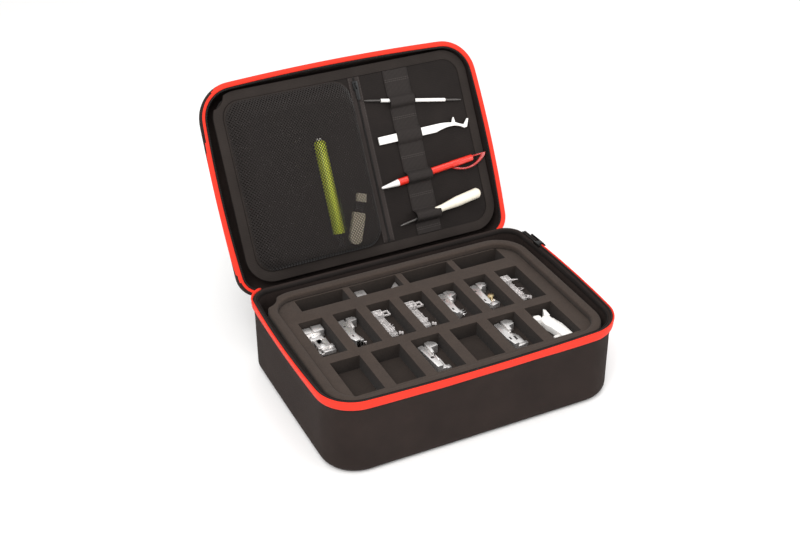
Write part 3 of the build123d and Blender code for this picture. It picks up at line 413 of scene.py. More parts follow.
def soften(name, nodeName, material, width, segments=2, angle=40):  # merged copy of a node, edges rounded
    mesh = nodes[nodeName].data.copy()
    work = bmesh.new()
    work.from_mesh(mesh)
    bmesh.ops.remove_doubles(work, verts=work.verts, dist=1e-5)
    bmesh.ops.dissolve_limit(work, angle_limit=math.radians(2), verts=work.verts, edges=work.edges)
    sharp = [e for e in work.edges if len(e.link_faces) == 2 and e.calc_face_angle(0) > math.radians(angle)]
    bmesh.ops.bevel(work, geom=sharp, offset=width, segments=segments, profile=0.5, affect="EDGES",
                    clamp_overlap=True)
    work.to_mesh(mesh)
    work.free()
    mesh.materials.clear()
    mesh.materials.append(material)
    for polygon in mesh.polygons:
        polygon.use_smooth = True
        polygon.material_index = 0
    mesh.set_sharp_from_angle(angle=math.radians(32))
    return addObject(name, mesh)


def joined(name, pieces):  # one mesh from several, with their materials
    work = bmesh.new()
    materials = []
    for piece in pieces:
        start = len(work.faces)
        index = []
        for material in piece.data.materials:
            if material not in materials:
                materials.append(material)
            index.append(materials.index(material))
        work.from_mesh(piece.data)
        work.faces.ensure_lookup_table()
        for face in work.faces[start:]:
            face.material_index = index[face.material_index] if index else 0
    mesh = bpy.data.meshes.new(name)
    work.to_mesh(mesh)
    work.free()
    for material in materials:
        mesh.materials.append(material)
    for piece in pieces:
        bpy.data.objects.remove(piece)
    return addObject(name, mesh)


def tube(name, points, radius, material, sides=8):  # round bar along a line of points in metres
    rows = [[] for _ in range(sides)]
    reference = Vector((0.31, 0.17, 0.93))
    for k, point in enumerate(points):
        ahead = (points[min(k + 1, len(points) - 1)] - points[max(k - 1, 0)]).normalized()
        sideways = ahead.cross(reference).normalized()
        upwards = sideways.cross(ahead)
        for i in range(sides):
            a = 2 * math.pi * i / sides
            rows[i].append(point + (sideways * math.cos(a) + upwards * math.sin(a)) * radius)
    return capped(name, rows, material)


# Outline of the case: a rounded rectangle whose front and sides swell

ringSteps = {"back": 10, "corner": 12, "side": 22, "front": 34}


def bowedRing(halfWidth, front, rear, sideBow, frontBow, corner, rearRadius):
    side = halfWidth - sideBow
    frontEnd = -front + frontBow
    middle = (rear + frontEnd) / 2
    half = (rear - frontEnd) / 2
    frontRadius = (side ** 2 + frontBow ** 2) / (2 * frontBow)
    sideRadius = (half ** 2 + sideBow ** 2) / (2 * sideBow)
    frontCentre = Vector((0, -front + frontRadius))
    sideCentre = Vector((halfWidth - sideRadius, middle))
    # centre of the front corner: where the two inset arcs cross
    a, b = frontRadius - corner, sideRadius - corner
    between = frontCentre - sideCentre
    gap = between.length
    reach = (b * b - a * a + gap * gap) / (2 * gap)
    lift = math.sqrt(max(b * b - reach * reach, 0))
    unit = between / gap
    crossings = [sideCentre + unit * reach + Vector((-unit.y, unit.x)) * lift * s for s in (1, -1)]
    frontCorner = min(crossings, key=lambda p: (p - Vector((side, frontEnd))).length)
    rearCornerY = rear - rearRadius
    rearReach = sideRadius - rearRadius
    rearCorner = Vector((sideCentre.x + math.sqrt(rearReach ** 2 - (rearCornerY - middle) ** 2), rearCornerY))

    def angleTo(centre, point):
        return math.atan2(point.y - centre.y, point.x - centre.x)

    def arc(centre, radius, start, end, count):
        return [centre + Vector((math.cos(start + (end - start) * k / count),
                                 math.sin(start + (end - start) * k / count))) * radius for k in range(count)]

    frontTurn = angleTo(frontCentre, frontCorner)
    sideTurn = angleTo(sideCentre, frontCorner)
    rearTurn = angleTo(sideCentre, rearCorner)
    right = []
    right += arc(frontCentre, frontRadius, -math.pi / 2, frontTurn, ringSteps["front"] // 2)
    right += arc(frontCorner, corner, frontTurn, sideTurn, ringSteps["corner"])
    right += arc(sideCentre, sideRadius, sideTurn, rearTurn, ringSteps["side"])
    right += arc(rearCorner, rearRadius, rearTurn, math.pi / 2, ringSteps["corner"])
    top = Vector((rearCorner.x, rear))
    right += [top.lerp(Vector((0, rear)), k / ringSteps["back"]) for k in range(ringSteps["back"])]
    left = [Vector((-p.x, p.y)) for p in reversed(right[1:])]
    return [Vector((0, rear))] + left + right  # starts in the middle of the back, goes round by the left


def flareOf(place):
    return rim["lidFlare"] if place is lidPlace else rim["baseFlare"]


def rimOutline(place, drop, inset):
    share = min(drop / flareOf(place), 1)

    def mixed(parting, wallValue):
        return parting + (wallValue - parting) * share

    return bowedRing(
        mixed(rim["halfWidth"], case["halfWidth"] + rim["tapeStep"]) - inset,
        mixed(rim["front"], case["front"] + rim["tapeStep"]) - inset,
        case["rear"] + rim["tapeStep"] - inset,
        mixed(rim["sideBow"], case["bow"]),
        mixed(rim["frontBow"], case["bow"]),
        mixed(rim["corner"], case["corner"] + rim["tapeStep"]) - inset,
        case["rearCorner"] + rim["tapeStep"] - inset,
    )


def wallOutline(inset):
    return bowedRing(case["halfWidth"] - inset, case["front"] - inset, case["rear"] - inset,
                     case["bow"], case["bow"], case["corner"] - inset, case["rearCorner"] - inset)


def placed(place, outline, depth):
    return [place(p.x, p.y, depth) for p in outline]


def rimRow(place, drop, inset):
    return placed(place, rimOutline(place, drop, inset), drop)


# Rows of a moulded shell: from the middle of its face out to the rim, over the lip and back inside
def shellRows(place, depth, edgeRound):
    wall, lip, step, flare = case["wall"], rim["lipDrop"], rim["tapeStep"], flareOf(place)
    face = case["faceInset"]
    rows = [placed(place, wallOutline(inset), depth) for inset in (face, (face + edgeRound) / 2)]
    for k in range(9):
        a = math.pi / 2 * k / 8
        rows.append(placed(place, wallOutline(edgeRound * (1 - math.sin(a))),
                           depth - edgeRound * (1 - math.cos(a))))
    bottom = depth - edgeRound
    steps = max(2, round((bottom - flare) / 8))
    for k in range(1, steps + 1):
        rows.append(placed(place, wallOutline(0), bottom + (flare - bottom) * k / steps))
    for share in (0.75, 0.5, 0.3):
        rows.append(rimRow(place, flare * share, step))
    for drop, inset in ((1.2, 0), (0.35, 0.35), (0, 1.2), (0, wall - 1.2), (0.35, wall - 0.35), (1.2, wall)):
        rows.append(rimRow(place, lip + drop, step + inset))
    rows.append(rimRow(place, flare, step + wall))
    innerRound = edgeRound - wall
    innerDepth = depth - wall
    for k in range(9):
        a = math.pi / 2 * k / 8
        rows.append(placed(place, wallOutline(wall + innerRound * (1 - math.cos(a))),
                           innerDepth - innerRound * (1 - math.sin(a))))
    rows.append(placed(place, wallOutline(face), innerDepth))
    return rows


def ripple(rows, first, last, size):  # the laminated cloth isn't quite flat
    for i in range(first, last):
        centre = sum(rows[i], Vector()) / len(rows[i])
        fade = min(1, (i - first) / 3, (last - i) / 3)
        for j, p in enumerate(rows[i]):
            out = (p - centre).normalized()
            rows[i][j] = p + out * noise.noise(p * 16) * size * fade


baseRows = shellRows(basePlace, case["rimHeight"], case["bottomRound"])
ripple(baseRows, 9, 19, 0.5 * mm)
baseShell = skin("caseBase", baseRows, finish["cloth"], caps=True)
stand(baseShell, "base", "case_cloth", "base_shell")

lidRows = shellRows(lidPlace, case["lidDepth"], case["lidRound"])
lidShell = skin("caseLid", lidRows, finish["cloth"], caps=True)
stand(lidShell, "lid", "case_cloth", "lid_shell")
print("shells made")


# Zip: red tapes, black coils, and the linings inside the rim

def trimRing(ring, leftEnd, rightEnd):  # cuts a ring open at the back, each side at its own y
    straight = rim["straight"]
    points = [p for p in ring[1:] if p.y < 0 or abs(p.x) > straight]

    def cut(a, b, y):
        return a.lerp(b, (y - a.y) / (b.y - a.y))

    first = next(k for k in range(len(points)) if points[k].y <= leftEnd)
    last = next(k for k in reversed(range(len(points))) if points[k].y <= rightEnd)
    kept = points[first:last + 1]
    if first > 0 and points[first - 1].y > leftEnd:
        kept = [cut(points[first], points[first - 1], leftEnd)] + kept
    if last + 1 < len(points) and points[last + 1].y > rightEnd:
        kept = kept + [cut(points[last], points[last + 1], rightEnd)]
    return kept


def evenRing(points, count):  # the same open line with evenly spaced points
    lengths = [0.0]
    for k in range(1, len(points)):
        lengths.append(lengths[-1] + (points[k] - points[k - 1]).length)
    result, k = [], 0
    for index in range(count):
        target = lengths[-1] * index / (count - 1)
        while k < len(lengths) - 2 and lengths[k + 1] < target:
            k += 1
        span = lengths[k + 1] - lengths[k]
        result.append(points[k].lerp(points[k + 1], (target - lengths[k]) / span if span else 0))
    return result


def rimStrip(name, place, profile, leftEnd, rightEnd, material, count=rim["tapePoints"], wander=0.0):
    rows = []
    for index, (drop, inset) in enumerate(profile):
        ring = evenRing(trimRing(rimOutline(place, drop, inset), leftEnd, rightEnd), count)
        row = []
        for p in ring:
            shift = noise.noise(Vector((p.x * 0.021, p.y * 0.021, 3.7 + index * 0.13))) * wander
            row.append(place(p.x, p.y, drop - (shift if drop > 6 else 0)))
        rows.append(row)
    return capped(name, rows, material)


thick = rim["tapeThickness"]
baseTapeProfile = [(1.0, 1.1), (0.85, 0.6), (1.3, 0.15), (2.6, 0.0), (4.6, 0.1), (7.0, 0.05), (9.4, 0.0),
                   (11.0, 0.2), (11.8, 0.7), (11.9, 1.3), (11.4, thick), (6.0, thick), (1.6, thick)]
lidTapeProfile = [(11.9, 1.3), (11.6, 0.6), (10.6, 0.15), (9.4, 0.05), (8.2, 0.0), (7.0, 0.0), (5.8, 0.05),
                  (4.8, 0.1), (3.9, 0.15), (3.2, 0.2), (2.4, 0.4), (1.7, 0.8), (1.0, 1.8), (0.85, 3.2),
                  (1.0, 4.8), (1.5, 6.1), (2.2, 6.4), (2.5, 5.6), (2.55, 3.2), (2.9, 2.1), (4.0, thick),
                  (7.0, thick), (11.4, thick)]
baseTape = rimStrip("zipTapeBase", basePlace, baseTapeProfile, rim["tapeEnd"], rim["tabStart"],
                    finish["redTape"], wander=0.7)
stand(baseTape, "base", "red_tape", "base_zip_tape")
lidTape = rimStrip("zipTapeLid", lidPlace, lidTapeProfile, rim["tapeEnd"], rim["tapeEnd"],
                   finish["redTape"], wander=0.7)
lidTape.data.materials.append(finish["cloth"])  # on the left the shell's cloth laps over the tape
lapSide = -100  # the lap lies to the left of this
lapStops = [(-126, 5), (-121, 9), (-112, 13), (-88, 13), (-62, 12), (-40, 10), (-15, 3), (70, 3), (92, 11),
            (103, 13), (119, 13)]  # y, and how many rows of the tape are covered there
for index, polygon in enumerate(lidTape.data.polygons):
    spot = polygon.center / mm - lidOrigin
    y, row = spot.dot(lidY), index // (rim["tapePoints"] - 1)
    stop = next((k for k in range(1, len(lapStops)) if y <= lapStops[k][0]), len(lapStops) - 1)
    (y0, d0), (y1, d1) = lapStops[stop - 1], lapStops[stop]
    lap = d0 + (d1 - d0) * min(max((y - y0) / (y1 - y0), 0), 1)
    if spot.x < lapSide and row < lap:
        polygon.material_index = 1
stand(lidTape, "lid", "red_tape", "lid_zip_tape")


def beadTree(name, material):  # rounded beads along a line: coil teeth or stitches
    tree = bpy.data.node_groups.new(name, "GeometryNodeTree")
    sockets = {}
    tree.interface.new_socket("Line", in_out="INPUT", socket_type="NodeSocketGeometry")
    for label in ("Pitch", "Bead length", "Bead width", "Bead height"):
        socket = tree.interface.new_socket(label, in_out="INPUT", socket_type="NodeSocketFloat")
        socket.default_value = 1.0 * mm
        sockets[label] = socket.identifier
    tree.interface.new_socket("Beads", in_out="OUTPUT", socket_type="NodeSocketGeometry")
    entry = addNode(tree, "NodeGroupInput")
    toCurve = addNode(tree, "GeometryNodeMeshToCurve", links={"Mesh": entry.outputs["Line"]})
    spaced = addNode(tree, "GeometryNodeResampleCurve", {"mode": "LENGTH"},
                     {"Curve": toCurve.outputs[0], "Length": entry.outputs["Pitch"]})
    tangent = addNode(tree, "GeometryNodeInputTangent")
    outward = addNode(tree, "GeometryNodeInputNamedAttribute",
                      {"data_type": "FLOAT_VECTOR", "Name": "outward"})
    facing = addNode(tree, "FunctionNodeAlignRotationToVector", {"axis": "Z"},
                     {"Vector": outward.outputs["Attribute"]})
    aimed = addNode(tree, "FunctionNodeAlignRotationToVector", {"axis": "X", "pivot_axis": "Z"},
                    {"Rotation": facing.outputs[0], "Vector": tangent.outputs[0]})
    ball = addNode(tree, "GeometryNodeMeshUVSphere", {"Segments": 8, "Rings": 5, "Radius": 0.5})
    size = addNode(tree, "ShaderNodeCombineXYZ", links={"X": entry.outputs["Bead length"],
                                                        "Y": entry.outputs["Bead width"],
                                                        "Z": entry.outputs["Bead height"]})
    place = addNode(tree, "GeometryNodeInstanceOnPoints",
                    links={"Points": spaced.outputs[0], "Instance": ball.outputs[0],
                           "Rotation": aimed.outputs[0], "Scale": size.outputs[0]})
    real = addNode(tree, "GeometryNodeRealizeInstances", links={"Geometry": place.outputs[0]})
    coloured = addNode(tree, "GeometryNodeSetMaterial", {"Material": material}, {"Geometry": real.outputs[0]})
    smooth = addNode(tree, "GeometryNodeSetShadeSmooth", links={"Geometry": coloured.outputs[0]})
    addNode(tree, "NodeGroupOutput", links={"Beads": smooth.outputs[0]})
    return tree, sockets


def beadsAlong(name, points, outward, sizes, material):  # sizes: pitch, length, width and height in metres
    tree, sockets = beadTree(name + "Tree", material)
    mesh = bpy.data.meshes.new(name + "Line")
    mesh.from_pydata([tuple(p) for p in points], [(k, k + 1) for k in range(len(points) - 1)], [])
    layer = mesh.attributes.new("outward", "FLOAT_VECTOR", "POINT")
    for k, direction in enumerate(outward):
        layer.data[k].vector = direction
    line = addObject(name + "Line", mesh)
    modifier = line.modifiers.new("beads", "NODES")
    modifier.node_group = tree
    for label, value in zip(("Pitch", "Bead length", "Bead width", "Bead height"), sizes):
        modifier[sockets[label]] = value
    bpy.context.view_layer.update()
    shown = line.evaluated_get(bpy.context.evaluated_depsgraph_get())
    made = bpy.data.meshes.new_from_object(shown)
    made.name = name
    bpy.data.objects.remove(line)
    return addObject(name, made)


def seam(line, outward, sizes):  # stitches: pitch, length, width and height in millimetres
    return beadsAlong("seam", line, [outward] * len(line), [size * mm for size in sizes], finish["thread"])


def outwardOf(points, up):  # level direction away from the line's middle
    directions = []
    for k in range(len(points)):
        a, b = points[max(k - 1, 0)], points[min(k + 1, len(points) - 1)]
        directions.append((b - a).cross(up).normalized())
    return directions


def coilPiece(name, place, up, inset, leftEnd, rightEnd):
    profile = [(1.5, inset), (1.5, inset + 0.8), (2.75, inset + 0.8), (2.75, inset)]
    strip = rimStrip(name + "Strip", place, profile, leftEnd, rightEnd, finish["lining"], 150)
    middle = inset + rim["coilWidth"] / 2
    ring = evenRing(trimRing(rimOutline(place, 1.85, middle), leftEnd, rightEnd), 260)
    points = [place(p.x, p.y, 1.85) for p in ring]
    teeth = beadsAlong(name + "Teeth", points, outwardOf(points, up),
                       (1.9 * mm, 1.35 * mm, 1.9 * mm, 2.0 * mm), finish["coil"])
    return joined(name, [strip, teeth])


baseCoil = coilPiece("zipCoilBase", basePlace, Vector((0, 0, 1)), thick + 0.2, rim["tabEnd"], rim["tabEnd"])
stand(baseCoil, "base", "black_coil", "base_zip_coil")
lidCoil = coilPiece("zipCoilLid", lidPlace, -lidW, 6.7, rim["tapeEnd"], rim["tapeEnd"])
stand(lidCoil, "lid", "black_coil", "lid_zip_coil")


def liningPiece(name, place):
    inset = rim["tapeStep"] + case["wall"] + 0.2
    rows = []
    for drop, extra in ((3.1, 0.15), (3.0, 0.5), (3.3, 0.9), (5.5, 1.0), (7.6, 0.9), (8.0, 0.5), (7.8, 0.1)):
        rows.append(rimRow(place, drop, inset + extra))
    return skin(name, rows, finish["lining"], closeProfile=True)


stand(liningPiece("rimLiningBase", basePlace), "base", "black_cloth", "base_lining")
stand(liningPiece("rimLiningLid", lidPlace), "lid", "black_cloth", "lid_lining")
print("zip made")

# Foam trays, lid foam, panel and binding
# the pocket floors take the darker foam as painted shade
for nodeName, name, material, width in (
    ("tray_floor", "trayFloor", "foamDark", 0.6), ("tray_grid", "trayGrid", "foam", 0.8),
    ("tray_rim", "trayRidge", "foam", 2.0),
):
    layer = soften(name, nodeName, finish[material], width * mm, 3)
    layer.data.materials.append(finish["foamCutAndShade"])  # the pocket walls are darker: partly their open cut cells, partly painted shade
    # upright faces of the grid take the darker foam, which is painted shade on the pocket walls as well as
    # their open cells
    for polygon in layer.data.polygons:
        if nodeName == "tray_grid" and abs(polygon.normal.z) < 0.3:
            polygon.material_index = 1
    stand(layer, "tray", "foam", nodeName)
stand(soften("lowerTray", "lower_tray", finish["foamDark"], 1.2 * mm), "base", "foam", "lower_tray")
stand(soften("lidFoam", "lid_foam", finish["foamDark"], 1.0 * mm), "lid", "foam", "lid_foam")
lidPanel = soften("lidPanel", "lid_panel", finish["panel"], 0.8 * mm)
stand(lidPanel, "lid", "black_cloth", "lid_panel")
panelEdge = soften("panelBinding", "panel_binding", finish["binding"], 0.5 * mm, 3)
stand(panelEdge, "lid", "black_cloth", "panel_binding")

# Hinge cloth: a band along the back, sewn to the lid at both edges
hinge = {"halfWidth": 117.6, "low": -11.2, "high": 15.8, "back": 119.78, "face": 118.82}
hingeAcross = [hinge["halfWidth"] * (k / 20 - 1) for k in range(41)]
hingeRows = []
for w in [hinge["low"] + (hinge["high"] - hinge["low"]) * k / 12 for k in range(13)]:
    hingeRows.append([lidPlace(x, hinge["back"] + 0.1 * math.sin(w * 0.8 + x * 0.03) - 0.1, w)
                      for x in hingeAcross])
for w in [hinge["high"] + (hinge["low"] - hinge["high"]) * k / 4 for k in range(5)]:
    hingeRows.append([lidPlace(x, hinge["face"], w) for x in hingeAcross])
hingeBand = capped("hingeBand", hingeRows, finish["binding"])
hingeSeams = []
for w in (hinge["low"] + 2.5, hinge["high"] - 2.5):
    line = [lidPlace(x, hinge["back"] - 0.08, w) for x in (-116.0, 0.0, 116.0)]
    hingeSeams.append(seam(line, lidY, (3.0, 2.2, 0.5, 0.3)))
stand(joined("hingeCloth", [hingeBand] + hingeSeams), "lid", "black_cloth", "hinge_cloth")

# Mesh pocket: knitted net drawn over the left half of the panel, steep beside its zip
pocket = {
    "left": -144.2, "right": 10.7, "front": -100.4, "rear": 96.4, "corner": 20.0, "seat": 7.7, "top": -7.2,
    "slope": 21.8, "steep": 4.6, "rings": 14, "sag": 0.8,
}


def roundedLoop(left, right, front, rear, corner, stepCount=10):
    points = []
    for cx, cy, start in ((right - corner, rear - corner, 0), (left + corner, rear - corner, 90),
                          (left + corner, front + corner, 180), (right - corner, front + corner, 270)):
        for k in range(stepCount + 1):
            a = math.radians(start + 90 * k / stepCount)
            points.append(Vector((cx + corner * math.cos(a), cy + corner * math.sin(a))))
    return points


def evenLoop(points, count):
    ring = evenRing(points + [points[0]], count + 1)
    return ring[:-1]


def netRows():
    p = pocket
    rows = []
    centre = Vector(((p["left"] + p["right"]) / 2, (p["front"] + p["rear"]) / 2))
    for k in range(p["rings"] + 1):  # up the sloping sides
        share = k / p["rings"]
        swell = math.sin(share * math.pi / 2)
        loop = evenLoop(roundedLoop(
            p["left"] + p["slope"] * share, p["right"] - p["steep"] * share,
            p["front"] + p["slope"] * share, p["rear"] - p["steep"] * share, p["corner"]), 120)
        depth = p["seat"] + (p["top"] - p["seat"]) * (0.6 * swell + 0.4 * share)
        rows.append([(q, depth) for q in loop])
    topLoop = [q for q, _ in rows[-1]]
    for k in range(1, 15):  # in across the top, with a slight sag
        share = k / 15
        rows.append([(q.lerp(centre, share), p["top"] + p["sag"] * math.sin(share * math.pi / 2)
                      + 0.25 * noise.noise(Vector((q.x * 0.05, q.y * 0.05, share * 4)))) for q in topLoop])
    return rows


netGrid = netRows()
netCount = len(netGrid[0])
netPoints = [lidPlace(q.x, q.y, depth) for row in netGrid for q, depth in row]
netFaces, netUv = [], []
for i in range(len(netGrid) - 1):
    for j in range(netCount):
        corners = [(i, j), (i, (j + 1) % netCount), (i + 1, (j + 1) % netCount), (i + 1, j)]
        netFaces.append(tuple(a * netCount + b for a, b in corners))
        netUv += [(netGrid[a][b][0].x * mm, netGrid[a][b][0].y * mm) for a, b in corners]
last = len(netGrid) - 1
netFaces.append(tuple(last * netCount + j for j in range(netCount)))
netUv += [(netGrid[last][j][0].x * mm, netGrid[last][j][0].y * mm) for j in range(netCount)]
net = meshPiece("pocketNet", netPoints, netFaces, finish["net"], netUv)
stand(net, "lid", "mesh", "mesh_pocket")

# Hem: a folded band of tricot round the net's outer edge, stitched to the panel
hemRows = []
for side, depth in ((0.1, 7.75), (0.0, 7.2), (0.6, 6.7), (4.2, 6.3), (5.2, 6.6), (5.4, 7.3), (5.0, 7.75)):
    loop = evenLoop(roundedLoop(pocket["left"] + side, pocket["right"] - side * 0.2, pocket["front"] + side,
                                pocket["rear"] - side * 0.2, pocket["corner"] - side * 0.3), 140)
    hemRows.append([lidPlace(q.x, q.y, depth) for q in loop])
netHem = skin("netHem", hemRows, finish["binding"], closeProfile=True)
stand(netHem, "lid", "black_cloth")

# Pocket zip: two tapes meet at a coil of nylon teeth
pocketZip = {"left": 11.0, "right": 25.8, "coil": 18.4, "front": -100.2, "rear": 96.2}
z = pocketZip
zipSteps = [z["front"] + (z["rear"] - z["front"]) * k / 40 for k in range(41)]
tapeRows = []
for x, depth in ((z["left"], 7.9), (z["left"], 7.3), (z["left"] + 0.5, 6.98), (15.5, 7.0), (17.2, 7.15),
                 (z["coil"], 7.25), (19.6, 7.15), (21.3, 7.0), (z["right"] - 0.5, 6.98), (z["right"], 7.3),
                 (z["right"], 7.9)):
    tapeRows.append([lidPlace(x, y, depth) for y in zipSteps])
zipTape = capped("pocketZipTape", tapeRows, finish["pocketTape"])
zipSeams = []
for x in (12.4, 24.4):
    line = [lidPlace(x, y, 7.0) for y in (z["front"] + 2, 0.0, z["rear"] - 2)]
    zipSeams.append(seam(line, -lidW, (3.2, 2.3, 0.5, 0.3)))
stand(joined("pocketTape", [zipTape] + zipSeams), "lid", "black_cloth", "pocket_zip_tape")
coilLine = [lidPlace(z["coil"], y, 6.3) for y in (z["front"] + 1, 0.0, z["rear"] - 1)]
pocketTeeth = beadsAlong("pocketTeeth", coilLine, [Vector((1, 0, 0))] * 3,
                         (1.15 * mm, 0.85 * mm, 1.25 * mm, 2.9 * mm), finish["coil"])
stand(pocketTeeth, "lid", "black_coil", "pocket_zip_coil")

# Elastic strap: sewn down between the tools, standing up in a loop over each of them
strap = {
    "left": 55.6, "right": 87.4, "front": -100.2, "rear": 96.2, "flat": 7.5, "thickness": 0.9,
    # middle, half width and depth of each loop's crown
    "humps": ((-62.6, 6.0, 1.5), (-21.2, 7.6, 3.6), (27.95, 6.3, -2.7), (74.6, 6.3, -4.4)),
    "seams": (-88.0, -43.4, 3.5, 49.5, 89.5),
}


def strapDepth(y):
    depth = strap["flat"]
    for middle, half, top in strap["humps"]:
        away = abs(y - middle) / (half + 1.6)
        if away < 1:
            depth = min(depth, top + (strap["flat"] - top) * away ** 3.2)
    return depth


strapSteps = [strap["front"] + (strap["rear"] - strap["front"]) * k / 240 for k in range(241)]
upper, lower = [], []
for k in range(9):
    x = strap["left"] + (strap["right"] - strap["left"]) * k / 8
    crown = 0.14 * math.sin(math.pi * k / 8)
    upper.append([lidPlace(x, y, strapDepth(y) - strap["thickness"] * 0.5 - crown) for y in strapSteps])
    lower.append([lidPlace(x, y, strapDepth(y) + strap["thickness"] * 0.5 - crown) for y in strapSteps])
strapBand = capped("strapBand", upper + lower[::-1], finish["elastic"])
strapSeams = []
for y in strap["seams"]:
    for step in (-1.1, 1.1):
        line = [lidPlace(x, y + step, strap["flat"] - 0.62) for x in (57.0, 71.5, 86.0)]
        strapSeams.append(seam(line, -lidW, (2.6, 1.9, 0.6, 0.35)))
stand(joined("loopStrap", [strapBand] + strapSeams), "lid", "elastic", "loop_strap")
print("panel, pocket and strap made")

# Presser feet. Each part is placed in millimetres from the left rear corner of the foot's own box:
# x to the right, y towards the front, z up.

def turnedPlace(nodeName):
    low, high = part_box(nodeName)

    def at(x, y, z):
        return Vector((low[0] + x * mm, high[1] - y * mm, low[2] + z * mm))

    return at


def plate(at, outline, low, high, material, edge=0.22):  # flat part with a rounded top edge
    work = bmesh.new()
    under = [work.verts.new(at(x, y, low)) for x, y in outline]
    over = [work.verts.new(at(x, y, high)) for x, y in outline]
    work.faces.new(under)
    top = work.faces.new(over)
    for k in range(len(outline)):
        n = (k + 1) % len(outline)
        work.faces.new((under[k], under[n], over[n], over[k]))
    bmesh.ops.recalc_face_normals(work, faces=work.faces)
    if edge:
        upright = [e for e in work.edges if (e.verts[0] in under) != (e.verts[1] in under)]
        bmesh.ops.bevel(work, geom=list(top.edges) + upright, offset=edge * mm, segments=2, profile=0.5,
                        affect="EDGES", clamp_overlap=True)
    mesh = bpy.data.meshes.new("footPart")
    work.to_mesh(mesh)
    work.free()
    mesh.materials.append(material)
    for polygon in mesh.polygons:
        polygon.use_smooth = True
    mesh.set_sharp_from_angle(angle=math.radians(28))
    return addObject("footPart", mesh)


def block(at, x0, y0, x1, y1, low, high, material, edge=0.22):
    return plate(at, [(x0, y0), (x1, y0), (x1, y1), (x0, y1)], low, high, material, edge)


def disc(at, x, y, radius, low, high, material, sides=20):
    turns = [2 * math.pi * k / sides for k in range(sides)]
    outline = [(x + radius * math.cos(a), y + radius * math.sin(a)) for a in turns]
    return plate(at, outline, low, high, material, 0.3)


def window(at, outer, inner, low, high, material, edge=0.35):  # flat part with a rectangular hole
    rows = []
    for box, out, z in ((outer, 0, low), (outer, 0, high - edge), (outer, -edge, high), (inner, edge, high),
                        (inner, 0, high - edge), (inner, 0, low)):
        x0, y0, x1, y1 = box
        rows.append([at(x0 - out, y0 - out, z), at(x1 + out, y0 - out, z), at(x1 + out, y1 + out, z),
                     at(x0 - out, y1 + out, z)])
    part = skin("footPart", rows, material, closeProfile=True)
    part.data.set_sharp_from_angle(angle=math.radians(28))
    return part


def bar(at, points, radius, material, sides=6):
    return tube("footPart", [at(*p) for p in points], radius * mm, material, sides)


def footPiece(nodeName, slot, parts):
    pieces = []
    for kind, *values in parts:
        maker = {"plate": plate, "block": block, "disc": disc, "window": window, "bar": bar}[kind]
        pieces.append(maker(turnedPlace(nodeName), *values))
    body = nodes[nodeName]["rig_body"]
    words = nodeName.split("_")
    name = words[0] + "".join(word.capitalize() for word in words[1:])
    return stand(joined(name, pieces), body, slot, nodeName)


